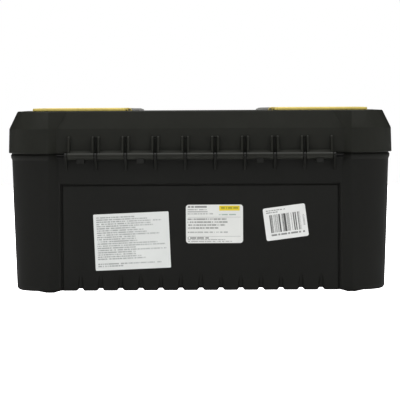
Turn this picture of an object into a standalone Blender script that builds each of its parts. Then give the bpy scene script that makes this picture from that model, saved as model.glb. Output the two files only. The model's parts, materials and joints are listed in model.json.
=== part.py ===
"""A moulded toolbox with a hinged lid, two lidded organisers in its top and a lift-out tray.

Units are metres and +Z is up. The origin is on the ground under the middle of the box. The front, with the
latches, faces -Y, and the lid's hinge runs along the rear at +Y. Left and right are as seen from the front.
"""

import math

import bmesh
import bpy
from mathutils import Matrix, Vector

# Fits and walls, and how far cutters reach past what they cut
GAP = 0.0003
SHELL = 0.0025
OUT_Y = 0.2500
OVER_Z = 0.2000
UNDER_Z = -0.0100

# Plan of the mouldings: round corner pillars with the middle of every face set back between them
RIDGE_X = 0.1590
CORNER_STEPS = 6
SIDE_SLANT_Y = 0.0480

# Body, a tub that widens towards its rim
BODY_LOW_X = 0.1940
BODY_LOW_Y = 0.0910
BODY_TOP_X = 0.1990
BODY_TOP_Y = 0.0950
BODY_LOW_Z = 0.0060
BODY_TOP_Z = 0.1390
BODY_SETBACK = 0.0062
BODY_SLANT_X = 0.1476
SIDE_SETBACK = 0.0020
RIM_X = 0.2008
RIM_Y = 0.0966
RIM_LOW_Z = 0.1405
RIM_TOP_Z = 0.1452
TONGUE_X = 0.1998
TONGUE_Y = 0.0954
TONGUE_TOP_Z = 0.1495
TONGUE_SETBACK = 0.0068
TONGUE_SLANT_X = 0.1515
FLOOR_Z = 0.0065
FOOT_HEIGHT = 0.0020
BODY_WALL = 0.0028
BODY_ROOT_Y = 0.0870

# Recessed panels in the body's faces, and the flutes along the foot of the front and rear panels
PANEL_HALF_X = 0.1467
PANEL_HALF_Y = 0.0440
PANEL_TOP_Z = 0.1142
PANEL_DEPTH = 0.0025
SIDE_PANEL_DEPTH = 0.0020
FLUTE_COUNT = 13
FLUTE_PITCH = 0.0211
FLUTE_WIDTH = 0.0068
FLUTE_DEPTH = 0.0030
FLUTE_TOP_Z = 0.0180
CHANNEL_TOP_Z = 0.0042
CHANNEL_HALF_Y = 0.1200

# One corner's foot pad from above: where it meets the floor, and its flat sole
FOOT_PAD_ROOT = (
    (0.1445, 0.0765),
    (0.1500, 0.0800),
    (0.1570, 0.0850),
    (0.1660, 0.0840),
    (0.1740, 0.0800),
    (0.1740, 0.0560),
    (0.1445, 0.0560),
)
FOOT_PAD_SOLE = ((0.1545, 0.0835), (0.1625, 0.0835), (0.1625, 0.0585), (0.1545, 0.0585))

# Lid
LID_X = 0.2030
LID_Y = 0.0986
LID_LOW_Z = 0.1467
LID_LIP_Z = 0.1510
LID_SHOULDER_Z = 0.1720
LID_TOP_Z = 0.1905
LID_TAPER = 0.0007
LID_CHAMFER = 0.0090
LID_SETBACK = 0.0070
LID_TOP_SETBACK = 0.0050
LID_SLANT_X = 0.1508
LID_TOP_SLANT_X = 0.1390
LID_ROOT_Y = 0.0900

# Rear hinge: nine wide barrels on the lid between ten thin fins on the body, on one steel pin
HINGE_Y = 0.0989
HINGE_Z = 0.1434
BARREL_RADIUS = 0.0036
BARREL_COUNT = 9
BARREL_PITCH = 0.03125
BARREL_LENGTH = 0.0275
FIN_THICKNESS = 0.0026
FIN_LOW_Z = 0.1283
LID_RIB_THICKNESS = 0.0024
LID_RIB_TOP_Z = 0.1642
PIN_RADIUS = 0.0015
HINGE_PIN_HALF = 0.1500
HINGE_HOLE_HALF = 0.1550
NUB_UNITS = (-4, -2, 2, 4)
NUB_WIDTH = 0.0080
NUB_HEIGHT = 0.0040
NUB_REAR_Y = 0.0985

# Front latches, hung on pins between ears on the lid
LATCH_X = 0.1050
LATCH_HALF_WIDTH = 0.0309
LATCH_PIVOT_Y = -0.0965
LATCH_PIVOT_Z = 0.1645
LATCH_KNUCKLE = 0.0042
LATCH_FRONT_Y = -0.1025
LATCH_BACK_Y = -0.0985
LATCH_LOW_Z = 0.1190
EAR_THICKNESS = 0.0040
EAR_RADIUS = 0.0045
CATCH_LIP_Y = -0.0940
CATCH_LIP_HALF_WIDTH = 0.0240
CATCH_LIP_LOW_Z = 0.1315
CATCH_LIP_TOP_Z = 0.1355
HOOK_PLAY = 0.0006
HOOK_HALF_WIDTH = 0.0220
HOOK_TIP_Y = -0.0900

# Padlock eye at the middle of the front
EYE_HALF_WIDTH = 0.0120
EYE_FRONT_Y = -0.1005
EYE_HOLE_Y = -0.0960
EYE_HOLE_RADIUS = 0.0033
EYE_HEIGHT = 0.0048

# Carrying handle, folded flat in a recess in the lid's top
HANDLE_RECESS_X = 0.0525
HANDLE_RECESS_FRONT_Y = -0.0580
HANDLE_RECESS_REAR_Y = 0.0090
HANDLE_RECESS_Z = 0.1685
HANDLE_AXIS_Z = 0.1815
HANDLE_REACH = 0.0430
HANDLE_ARM_X = 0.0519
HANDLE_ARM_THICKNESS = 0.0065
HANDLE_ARM_RADIUS = 0.0060
HANDLE_STUB_RADIUS = 0.0035
HANDLE_STUB_X = 0.0568
HANDLE_BAR_RADIUS = 0.0055
GRIP_RADIUS = 0.0090
GRIP_HALF_LENGTH = 0.0448

# Organisers: wells in the lid's top under two yellow lids that open outwards
WELL_INNER_X = 0.0820
WELL_OUTER_X = 0.1735
WELL_Y = 0.0720
WELL_FLOOR_Z = 0.1665
WELL_DIVIDER_TOP_Z = 0.1880
WELL_DIVIDER = 0.0020
WELL_CELLS = 3
ORGANISER_INNER_X = 0.0786
ORGANISER_OUTER_X = 0.1770
ORGANISER_Y = 0.0760
ORGANISER_TOP_Z = 0.1935
ORGANISER_HINGE_X = 0.1815
ORGANISER_HINGE_Z = 0.1878
ORGANISER_KNUCKLE = 0.0024
ORGANISER_PIN_RADIUS = 0.0012
ORGANISER_PIN_HALF = 0.0598
KNUCKLE_Y = 0.0400
KNUCKLE_HALF = 0.0100
KNUCKLE_PLAY = 0.0004
KNUCKLE_WELL_DEPTH = 0.0075
ORGANISER_HOLE_HALF = 0.0650
ORGANISER_LIP = 0.0015

# Small flip catches that hold the organiser lids shut
FLIP_AXIS_X = 0.0760
FLIP_AXIS_Z = 0.1911
FLIP_BARREL = 0.0024
FLIP_HALF_WIDTH = 0.0160
FLIP_STUB_RADIUS = 0.0011
FLIP_EAR = 0.0050
FLIP_HOLE_HALF = 0.0225
CATCH_HALF_WIDTH = 0.0140
CATCH_OUTLINE = (
    (0.0000, -0.0002),
    (-0.0105, -0.0002),
    (-0.0105, -0.0070),
    (-0.0082, -0.0070),
    (-0.0084, -0.0080),
    (-0.0100, -0.0086),
    (-0.0130, -0.0086),
    (-0.0130, -0.0002),
    (-0.0150, -0.0002),
    (-0.0152, 0.0006),
    (-0.0120, 0.0021),
    (0.0000, 0.0023),
)

# The pockets in the lid's top for one flip catch: nearest X, furthest X and half width
EAR_POCKET = (0.0728, 0.0792, 0.0222)
LEG_POCKET = (0.0600, 0.0670, 0.0155)
NOSE_POCKET = (0.0640, 0.0688, 0.0150)

# Tray, hung by its flange from two ledges inside the body
TRAY_LOW_Z = 0.0940
TRAY_TOP_Z = 0.1370
TRAY_FLANGE_Z = 0.1345
TRAY_RIDGE_X = 0.1500
TRAY_LOW_X = 0.1805
TRAY_LOW_Y = 0.0725
TRAY_HIGH_X = 0.1845
TRAY_HIGH_Y = 0.0760
TRAY_FLANGE_X = 0.1905
TRAY_FLANGE_Y = 0.0790
TRAY_SLANT_X = 0.1300
TRAY_WALL = 0.0020
TRAY_SPINE = 0.0090
TRAY_CELLS = 4
CELL_RADIUS = 0.0040
CORNER_CELL_RADIUS = 0.0300
GRIP_HOLD_X = 0.0450
GRIP_HOLD_DEPTH = 0.0060
GRIP_HOLD_LOW_Z = 0.1040
GRIP_HOLD_TOP_Z = 0.1260
GUIDE_THICKNESS = 0.0016
GUIDE_DEPTH = 0.0025
LEDGE_X = 0.1855
LEDGE_ROOT_X = 0.1965
LEDGE_HALF_Y = 0.0520
LEDGE_LOW_Z = 0.1280
DIVIDER_X = 0.0620
DIVIDER_THICKNESS = 0.0018

# Stickers on the rear panel: name, middle X and Z, width, height, turn in degrees, corner radius
STICKERS = (
    ("label_document", 0.0721, 0.0538, 0.0793, 0.0594, 2.3, 0.0010),
    ("label_rating", -0.0146, 0.0715, 0.0600, 0.0406, 0.0, 0.0030),
    ("label_barcode", -0.0895, 0.0729, 0.0447, 0.0345, 7.4, 0.0010),
)
STICKER_THICKNESS = 0.0004


def clear_scene():
    for obj in list(bpy.data.objects):
        bpy.data.objects.remove(obj, do_unlink=True)


def make_material(name, colour, roughness, metallic=0.0):
    material = bpy.data.materials.new(name)
    material.use_nodes = True
    shader = material.node_tree.nodes["Principled BSDF"]
    shader.inputs["Base Color"].default_value = (*colour, 1.0)
    shader.inputs["Roughness"].default_value = roughness
    shader.inputs["Metallic"].default_value = metallic
    return material


def body_plastic():
    return make_material("body_plastic", (0.016, 0.016, 0.014), 0.50)


def lid_plastic():
    return make_material("lid_plastic", (0.018, 0.018, 0.015), 0.48)


def latch_plastic():
    return make_material("latch_plastic", (0.014, 0.014, 0.013), 0.38)


def organiser_plastic():
    return make_material("organiser_plastic", (0.80, 0.50, 0.03), 0.35)


def handle_plastic():
    return make_material("handle_plastic", (0.015, 0.015, 0.014), 0.45)


def grip_rubber():
    return make_material("grip_rubber", (0.020, 0.020, 0.020), 0.75)


def tray_plastic():
    return make_material("tray_plastic", (0.020, 0.020, 0.018), 0.55)


def steel():
    return make_material("steel", (0.55, 0.55, 0.56), 0.30, 1.0)


def paper():
    return make_material("paper", (0.62, 0.64, 0.61), 0.60)


# ---- Shapes ----------------------------------------------------------------------------------------------


def loft(rings):
    """A closed solid through outlines of the same number of points, from the lowest to the highest."""
    bm = bmesh.new()
    loops = [[bm.verts.new(point) for point in ring] for ring in rings]
    count = len(loops[0])
    for low, high in zip(loops, loops[1:]):
        for i in range(count):
            j = (i + 1) % count
            bm.faces.new((low[i], low[j], high[j], high[i]))
    bm.faces.new(list(reversed(loops[0])))
    bm.faces.new(loops[-1])
    bmesh.ops.recalc_face_normals(bm, faces=bm.faces)
    return bm


def plan_ring(z, half_x, half_y, setback, slant_x, side_setback, ridge_x=RIDGE_X):
    """The outline of the mouldings at height z, as four mirrored quarters."""
    radius = half_x - ridge_x
    quarter = [(half_x - side_setback, min(SIDE_SLANT_Y, half_y - radius - 0.004))]
    for step in range(CORNER_STEPS + 1):
        angle = 0.5 * math.pi * step / CORNER_STEPS
        quarter.append((ridge_x + radius * math.cos(angle), half_y - radius + radius * math.sin(angle)))
    quarter.append((slant_x, half_y - setback))
    back = quarter[::-1]
    half = quarter + [(-x, y) for x, y in back]
    return [Vector((x, y, z)) for x, y in half + [(-x, -y) for x, y in half]]


def prism(axis, outline, low, high):
    """An outline extruded along an axis: (y, z) points along X, (x, z) along Y, or (x, y) along Z."""
    place = {
        "X": lambda a, b, c: Vector((c, a, b)),
        "Y": lambda a, b, c: Vector((a, c, b)),
        "Z": lambda a, b, c: Vector((a, b, c)),
    }[axis]
    return loft([[place(a, b, end) for a, b in outline] for end in (low, high)])


def box(x0, x1, y0, y1, z0, z1):
    return prism("Z", [(x0, y0), (x1, y0), (x1, y1), (x0, y1)], z0, z1)


def arc(centre_a, centre_b, radius, start, end, steps):
    """Points along an arc, from the start angle to the end angle in degrees."""
    points = []
    for step in range(steps + 1):
        angle = math.radians(start + (end - start) * step / steps)
        points.append((centre_a + radius * math.cos(angle), centre_b + radius * math.sin(angle)))
    return points


def rod(axis, centre_a, centre_b, radius, low, high, sides=20):
    turn = 360.0 / sides
    return prism(axis, arc(centre_a, centre_b, radius, 0.0, 360.0 - turn, sides - 1), low, high)


def rounded(x0, x1, y0, y1, radii, steps=4):
    """A rectangle with its own radius at each corner: high-high, low-high, low-low, then high-low."""
    points = []
    corners = ((x1, y1, -1, -1), (x0, y1, 1, -1), (x0, y0, 1, 1), (x1, y0, -1, 1))
    for quarter, (radius, (x, y, along_x, along_y)) in enumerate(zip(radii, corners)):
        start = 90 * quarter
        points += arc(x + along_x * radius, y + along_y * radius, radius, start, start + 90, steps)
    return points


def hull(points):
    bm = bmesh.new()
    for point in points:
        bm.verts.new(point)
    bmesh.ops.convex_hull(bm, input=bm.verts)
    bmesh.ops.recalc_face_normals(bm, faces=bm.faces)
    return bm


# ---- Objects ---------------------------------------------------------------------------------------------


def add_object(name, bm, pivot=(0.0, 0.0, 0.0)):
    """An object whose origin is at the pivot, from geometry given in world places."""
    bmesh.ops.translate(bm, verts=bm.verts, vec=-Vector(pivot))
    mesh = bpy.data.meshes.new(name)
    bm.to_mesh(mesh)
    bm.free()
    mesh.shade_smooth()
    mesh.set_sharp_from_angle(angle=math.radians(32))
    obj = bpy.data.objects.new(name, mesh)
    obj.location = pivot
    bpy.context.scene.collection.objects.link(obj)
    return obj


def add_helper(name, shapes):
    """Separate closed shapes in one hidden object, for a Boolean."""
    joined = bmesh.new()
    for shape in shapes:
        part = bpy.data.meshes.new(name)
        shape.to_mesh(part)
        shape.free()
        joined.from_mesh(part)
        bpy.data.meshes.remove(part)
    obj = add_object(name, joined)
    obj.hide_render = True
    obj.display_type = "WIRE"
    return obj


def boolean(obj, operation, name, shapes):
    helper = add_helper(name, shapes)
    modifier = obj.modifiers.new(name, "BOOLEAN")
    modifier.operation = operation
    modifier.object = helper
    return helper


def cut(obj, name, shapes):
    return boolean(obj, "DIFFERENCE", name, shapes)


def join(obj, name, shapes):
    return boolean(obj, "UNION", name, shapes)


def attach(obj, parent):
    """Parents an unturned object to another without moving it."""
    obj.parent = parent
    place = Vector(obj.location)
    above = parent
    while above:
        place -= Vector(above.location)
        above = above.parent
    obj.location = place


def sides():
    """(name, sign of X) of the two sides."""
    return (("left", -1), ("right", 1))


def mirrored(outline, sign):
    """An (x, z) or (x, y) outline on the chosen side."""
    return [(sign * a, b) for a, b in outline]


def span(sign, low, high):
    """The ends of a stretch along X on the chosen side, lowest first."""
    return (low, high) if sign > 0 else (-high, -low)


# ---- Body ------------------------------------------------------------------------------------------------


def body_half(z, low, top):
    return low + (top - low) * (z - BODY_LOW_Z) / (BODY_TOP_Z - BODY_LOW_Z)


def body_face_y(z):
    """The rear face between the pillars, above the panel."""
    return body_half(z, BODY_LOW_Y, BODY_TOP_Y) - BODY_SETBACK


def body_outside():
    levels = (
        (FOOT_HEIGHT, BODY_LOW_X - 0.0040, BODY_LOW_Y - 0.0040, BODY_SETBACK, BODY_SLANT_X),
        (FOOT_HEIGHT + 0.0012, BODY_LOW_X - 0.0016, BODY_LOW_Y - 0.0016, BODY_SETBACK, BODY_SLANT_X),
        (BODY_LOW_Z, BODY_LOW_X, BODY_LOW_Y, BODY_SETBACK, BODY_SLANT_X),
        (BODY_TOP_Z, BODY_TOP_X, BODY_TOP_Y, BODY_SETBACK, BODY_SLANT_X),
        (RIM_LOW_Z, RIM_X - 0.0008, RIM_Y - 0.0008, LID_SETBACK, LID_SLANT_X),
        (RIM_LOW_Z + 0.0025, RIM_X, RIM_Y, LID_SETBACK, LID_SLANT_X),
        (RIM_TOP_Z, RIM_X, RIM_Y, LID_SETBACK, LID_SLANT_X),
        (RIM_TOP_Z, TONGUE_X, TONGUE_Y, TONGUE_SETBACK, TONGUE_SLANT_X),
        (TONGUE_TOP_Z, TONGUE_X, TONGUE_Y, TONGUE_SETBACK, TONGUE_SLANT_X),
    )
    return loft([plan_ring(z, x, y, setback, slant, SIDE_SETBACK) for z, x, y, setback, slant in levels])


def body_inside():
    """The tub's hollow, which steps out above the panels so that its walls keep their thickness."""
    lower = BODY_SETBACK + PANEL_DEPTH - 0.0002
    step_z = PANEL_TOP_Z + 0.0005
    low_side = SIDE_SETBACK + SIDE_PANEL_DEPTH
    slant = BODY_SLANT_X - 0.0025
    rows = [
        (FLOOR_Z, BODY_LOW_X - 0.0100, BODY_LOW_Y - 0.0098, lower, slant, low_side),
        (FLOOR_Z + 0.008, BODY_LOW_X - 0.0045, BODY_LOW_Y - 0.0048, lower, slant, low_side),
    ]
    above_step = (step_z + 0.003, BODY_SETBACK, SIDE_SETBACK)
    for z, setback, side in ((0.022, lower, low_side), (step_z, lower, low_side), above_step):
        half_x = body_half(z, BODY_LOW_X, BODY_TOP_X) - BODY_WALL
        half_y = body_half(z, BODY_LOW_Y, BODY_TOP_Y) - BODY_WALL
        rows.append((z, half_x, half_y, setback, slant, side))
    rim = (TONGUE_X - 0.0030, TONGUE_Y - 0.0029, TONGUE_SETBACK - 0.0003, TONGUE_SLANT_X - 0.0010)
    rows.append((TONGUE_TOP_Z + 0.001, *rim, SIDE_SETBACK))
    return loft([plan_ring(*row) for row in rows])


def panel_cutters():
    """Shallow wedges that sink a panel into each of the four faces."""
    shapes = []
    for axis, half, low, top, inset in (
        ("X", PANEL_HALF_X, BODY_LOW_Y, BODY_TOP_Y, BODY_SETBACK + PANEL_DEPTH),
        ("Y", PANEL_HALF_Y, BODY_LOW_X, BODY_TOP_X, SIDE_SETBACK + SIDE_PANEL_DEPTH),
    ):
        outline = [(OUT_Y, UNDER_Z), (OUT_Y, PANEL_TOP_Z)]
        outline += [(body_half(z, low, top) - inset, z) for z in (PANEL_TOP_Z, UNDER_Z)]
        shapes += [prism(axis, mirrored(outline, sign), -half, half) for sign in (-1, 1)]
    return shapes


def flute(x, sign):
    """A groove up the panel from its bottom edge, wide and deep below and fading out at its top."""
    shapes = []
    low = (-0.004, FLUTE_WIDTH, FLUTE_DEPTH + 0.0006)
    for z, width, depth in (low, (FLUTE_TOP_Z, 0.6 * FLUTE_WIDTH, -0.0002)):
        face = body_face_y(z) - PANEL_DEPTH
        for out, half in ((0.0020, 0.62 * width), (-depth, 0.30 * width)):
            shapes += [Vector((x + side * half, sign * (face + out), z)) for side in (-1, 1)]
    return hull(shapes)


def flute_places():
    return [(i - (FLUTE_COUNT - 1) / 2) * FLUTE_PITCH for i in range(FLUTE_COUNT)]


def underside_channels():
    """Shallow channels from front to back under the floor, which end at the flutes."""
    low = FOOT_HEIGHT - 0.0005
    outline = [(-0.0042, low), (0.0042, low), (0.0030, CHANNEL_TOP_Z - 0.0010), (0.0019, CHANNEL_TOP_Z)]
    outline += [(-0.0019, CHANNEL_TOP_Z), (-0.0030, CHANNEL_TOP_Z - 0.0010)]
    half = CHANNEL_HALF_Y
    return [prism("Y", [(x + a, b) for a, b in outline], -half, half) for x in flute_places()]


def foot_pads():
    """A flat-bottomed pad under each corner pillar, sloping back up into the floor around it."""
    shapes = []
    for along_x in (-1, 1):
        for along_y in (-1, 1):
            points = [Vector((along_x * x, along_y * y, FOOT_HEIGHT + 0.0008)) for x, y in FOOT_PAD_ROOT]
            points += [Vector((along_x * x, along_y * y, 0.0)) for x, y in FOOT_PAD_SOLE]
            shapes.append(hull(points))
    return shapes


def hinge_gap_places():
    """X of the fins: one in each gap between the barrels and one at each end."""
    half = BARREL_COUNT / 2
    return [(i - half) * BARREL_PITCH for i in range(BARREL_COUNT + 1)]


def barrel_places():
    return [(i - (BARREL_COUNT - 1) / 2) * BARREL_PITCH for i in range(BARREL_COUNT)]


def body_fins():
    foot = BODY_ROOT_Y + 0.0022
    outline = [(BODY_ROOT_Y, FIN_LOW_Z), (foot, FIN_LOW_Z), (foot + 0.0048, FIN_LOW_Z + 0.0055)]
    outline += arc(HINGE_Y, HINGE_Z, BARREL_RADIUS, -50, 135, 9)
    outline += [(foot + 0.0033, RIM_TOP_Z - 0.0009), (BODY_ROOT_Y, RIM_TOP_Z - 0.0009)]
    half = FIN_THICKNESS / 2
    return [prism("X", outline, x - half, x + half) for x in hinge_gap_places()]


def hinge_nubs():
    """Small rests under some of the barrels."""
    shapes = []
    half = NUB_WIDTH / 2
    top = HINGE_Z - BARREL_RADIUS - GAP
    for unit in NUB_UNITS:
        x = unit * BARREL_PITCH
        shapes.append(box(x - half, x + half, BODY_ROOT_Y, NUB_REAR_Y, top - NUB_HEIGHT, top))
    return shapes


def latch_catch_lips():
    shapes = []
    for _, sign in sides():
        x0, x1 = span(sign, LATCH_X - CATCH_LIP_HALF_WIDTH, LATCH_X + CATCH_LIP_HALF_WIDTH)
        shapes.append(box(x0, x1, CATCH_LIP_Y, -BODY_ROOT_Y, CATCH_LIP_LOW_Z, CATCH_LIP_TOP_Z))
    return shapes


def tray_ledges():
    shapes = []
    for _, sign in sides():
        top = TRAY_FLANGE_Z - GAP
        outline = [(LEDGE_X, LEDGE_LOW_Z), (LEDGE_X, top)]
        outline += [(LEDGE_ROOT_X, top), (LEDGE_ROOT_X, LEDGE_LOW_Z - 0.009)]
        shapes.append(prism("Y", mirrored(outline, sign), -LEDGE_HALF_Y, LEDGE_HALF_Y))
    return shapes


def padlock_eye(root_y, low_z):
    return box(-EYE_HALF_WIDTH, EYE_HALF_WIDTH, EYE_FRONT_Y, root_y, low_z, low_z + EYE_HEIGHT)


def make_body():
    body = add_object("body", body_outside())
    body.data.materials.append(body_plastic())
    cut(body, "body_hollow", [body_inside()])
    cut(body, "body_panels", panel_cutters())
    cut(body, "body_flutes", [flute(x, sign) for sign in (-1, 1) for x in flute_places()])
    cut(body, "body_channels", underside_channels())
    join(body, "body_feet", foot_pads())
    join(body, "body_fins", body_fins())
    join(body, "body_nubs", hinge_nubs())
    join(body, "body_catch_lips", latch_catch_lips())
    join(body, "body_ledges", tray_ledges())
    join(body, "body_eye", [padlock_eye(-BODY_ROOT_Y, RIM_TOP_Z - EYE_HEIGHT - GAP)])
    holes = [rod("X", HINGE_Y, HINGE_Z, PIN_RADIUS + GAP, -HINGE_HOLE_HALF, HINGE_HOLE_HALF)]
    holes.append(rod("Z", 0.0, EYE_HOLE_Y, EYE_HOLE_RADIUS, RIM_TOP_Z - 0.0085, RIM_TOP_Z + 0.0015))
    cut(body, "body_holes", holes)
    return body


# ---- Lid -------------------------------------------------------------------------------------------------


def lid_outside():
    shoulder_x = LID_X - LID_TAPER
    shoulder_y = LID_Y - LID_TAPER
    return loft(
        [
            plan_ring(LID_LOW_Z, LID_X, LID_Y, LID_SETBACK, LID_SLANT_X, SIDE_SETBACK),
            plan_ring(LID_LIP_Z, LID_X, LID_Y, LID_SETBACK, LID_SLANT_X, SIDE_SETBACK),
            plan_ring(LID_SHOULDER_Z, shoulder_x, shoulder_y, LID_SETBACK, LID_SLANT_X, SIDE_SETBACK),
            plan_ring(
                LID_TOP_Z,
                shoulder_x - LID_CHAMFER,
                shoulder_y - LID_CHAMFER,
                LID_TOP_SETBACK,
                LID_TOP_SLANT_X,
                0.5 * SIDE_SETBACK,
            ),
        ]
    )


def lid_inside():
    inner_x = LID_X - SHELL
    inner_y = LID_Y - SHELL
    slant = LID_SLANT_X - 0.0008
    shoulder_z = LID_SHOULDER_Z - 0.0011
    top_x = LID_X - LID_TAPER - LID_CHAMFER - 0.0016
    top_y = LID_Y - LID_TAPER - LID_CHAMFER - 0.0016
    side = SIDE_SETBACK
    return loft(
        [
            plan_ring(LID_LOW_Z - 0.001, inner_x, inner_y, LID_SETBACK, slant, side),
            plan_ring(shoulder_z, inner_x - LID_TAPER, inner_y - LID_TAPER, LID_SETBACK, slant, side),
            plan_ring(LID_TOP_Z - SHELL, top_x, top_y, LID_TOP_SETBACK, LID_TOP_SLANT_X, 0.5 * side),
        ]
    )


def lid_tubs():
    """What the lid's hollow leaves standing: the wells, the handle's recess and blocks round the pivots."""
    high = LID_TOP_Z + 0.001
    shapes = []
    for _, sign in sides():
        x0, x1 = span(sign, WELL_INNER_X - SHELL, WELL_OUTER_X + SHELL)
        shapes.append([box(x0, x1, -WELL_Y - SHELL, WELL_Y + SHELL, WELL_FLOOR_Z - SHELL, high)])
        x0, x1 = span(sign, HANDLE_RECESS_X + 0.001, WELL_INNER_X - 0.001)
        shapes.append([box(x0, x1, -0.0260, 0.0260, LID_TOP_Z - 0.0160, high)])
        x0, x1 = span(sign, WELL_OUTER_X + 0.001, ORGANISER_HINGE_X + 0.0055)
        shapes.append([box(x0, x1, -0.0625, 0.0625, LID_TOP_Z - KNUCKLE_WELL_DEPTH, high)])
    x = HANDLE_RECESS_X + SHELL
    front = HANDLE_RECESS_FRONT_Y - SHELL
    rear = HANDLE_RECESS_REAR_Y + SHELL
    shapes.append([box(-x, x, front, rear, HANDLE_RECESS_Z - SHELL, high)])
    return shapes


def well_cutters(sign):
    """Compartments side by side along Y, and a shallow mouth over them for the organiser lid's lip."""
    x0, x1 = span(sign, WELL_INNER_X, WELL_OUTER_X)
    pitch = (2 * WELL_Y + WELL_DIVIDER) / WELL_CELLS
    cells = []
    for i in range(WELL_CELLS):
        y0 = -WELL_Y + i * pitch
        y1 = y0 + pitch - WELL_DIVIDER
        cells.append(box(x0, x1, y0, y1, WELL_FLOOR_Z, WELL_DIVIDER_TOP_Z + 0.0001))
    return cells, box(x0, x1, -WELL_Y, WELL_Y, WELL_DIVIDER_TOP_Z, OVER_Z)


def catch_pockets(sign):
    """Room for a flip catch: its ears and barrel, its leg, and the undercut that its nose hooks under."""
    shapes = []
    for (near, far, half), low, high in (
        (EAR_POCKET, FLIP_AXIS_Z - 0.0030, OVER_Z),
        (LEG_POCKET, LID_TOP_Z - 0.0090, OVER_Z),
        (NOSE_POCKET, LID_TOP_Z - 0.0086, LID_TOP_Z - 0.0045),
    ):
        shapes.append(box(*span(sign, near, far), -half, half, low, high))
    return shapes[:2], shapes[2]


def knuckle_pockets(sign):
    """Room in the lid's top for each organiser knuckle and the arm that carries it."""
    shapes = []
    half = KNUCKLE_HALF + KNUCKLE_PLAY
    low = ORGANISER_HINGE_Z - ORGANISER_KNUCKLE - 2 * GAP
    x0, x1 = span(sign, ORGANISER_OUTER_X - 0.0008, ORGANISER_HINGE_X + ORGANISER_KNUCKLE + 2 * GAP)
    for y in (-KNUCKLE_Y, KNUCKLE_Y):
        shapes.append(box(x0, x1, y - half, y + half, low, OVER_Z))
    return shapes


def lid_ribs():
    """Two upright ribs at each end of every barrel, from the lid's wall to the barrel."""
    outline = [(LID_ROOT_Y, LID_LOW_Z + 0.0006), (HINGE_Y - 0.0021, HINGE_Z + 0.0023)]
    outline += [(HINGE_Y, HINGE_Z + 0.0028), (HINGE_Y - 0.0005, HINGE_Z + 0.0053)]
    outline += [(LID_ROOT_Y + 0.0040, LID_RIB_TOP_Z - 0.0016)]
    outline += [(LID_ROOT_Y + 0.0025, LID_RIB_TOP_Z), (LID_ROOT_Y, LID_RIB_TOP_Z)]
    shapes = []
    for x in barrel_places():
        for side in (-1, 1):
            outer = x + side * BARREL_LENGTH / 2
            inner = outer - side * LID_RIB_THICKNESS
            shapes.append(prism("X", outline, min(outer, inner), max(outer, inner)))
    return shapes


def lid_barrels():
    half = BARREL_LENGTH / 2
    return [rod("X", HINGE_Y, HINGE_Z, BARREL_RADIUS, x - half, x + half) for x in barrel_places()]


def lid_webs():
    """The plate that carries each barrel from the foot of the lid's wall."""
    outline = [(LID_ROOT_Y - 0.0004, LID_LOW_Z + 0.0004), (HINGE_Y - 0.0014, HINGE_Z + 0.0023)]
    outline += [(HINGE_Y - 0.0002, HINGE_Z + 0.0032), (LID_ROOT_Y + 0.0003, LID_LOW_Z + 0.0032)]
    half = BARREL_LENGTH / 2 - 0.0006
    return [prism("X", outline, x - half, x + half) for x in barrel_places()]


def latch_ears():
    root = -LID_ROOT_Y + 0.0002
    outline = [(root, LATCH_PIVOT_Z - 0.0070), (LATCH_PIVOT_Y + 0.0010, LATCH_PIVOT_Z - 0.0048)]
    outline += arc(LATCH_PIVOT_Y, LATCH_PIVOT_Z, EAR_RADIUS, 245, 100, 7)
    outline += [(root, LATCH_PIVOT_Z + 0.0055)]
    shapes = []
    for _, sign in sides():
        for side in (-1, 1):
            near = sign * LATCH_X + side * (LATCH_HALF_WIDTH + GAP)
            far = near + side * EAR_THICKNESS
            shapes.append(prism("X", outline, min(near, far), max(near, far)))
    return shapes


def latch_pin_hole(centre):
    """A hole for a latch's pin, through the latch and the ears on both its sides."""
    reach = LATCH_HALF_WIDTH + 2 * EAR_THICKNESS
    return rod("X", LATCH_PIVOT_Y, LATCH_PIVOT_Z, PIN_RADIUS + GAP, centre - reach, centre + reach)


def lid_holes():
    shapes = [rod("X", HINGE_Y, HINGE_Z, PIN_RADIUS + GAP, -HINGE_HOLE_HALF, HINGE_HOLE_HALF)]
    shapes.append(rod("Z", 0.0, EYE_HOLE_Y, EYE_HOLE_RADIUS, LID_LOW_Z - 0.0020, LID_LOW_Z + 0.0080))
    for _, sign in sides():
        shapes.append(latch_pin_hole(sign * LATCH_X))
        x0, x1 = span(sign, HANDLE_RECESS_X - 0.001, HANDLE_STUB_X + 0.0006)
        shapes.append(rod("X", 0.0, HANDLE_AXIS_Z, HANDLE_STUB_RADIUS + GAP, x0, x1))
        radius = ORGANISER_PIN_RADIUS + GAP
        half = ORGANISER_HOLE_HALF
        shapes.append(rod("Y", sign * ORGANISER_HINGE_X, ORGANISER_HINGE_Z, radius, -half, half, 12))
    return shapes


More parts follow.
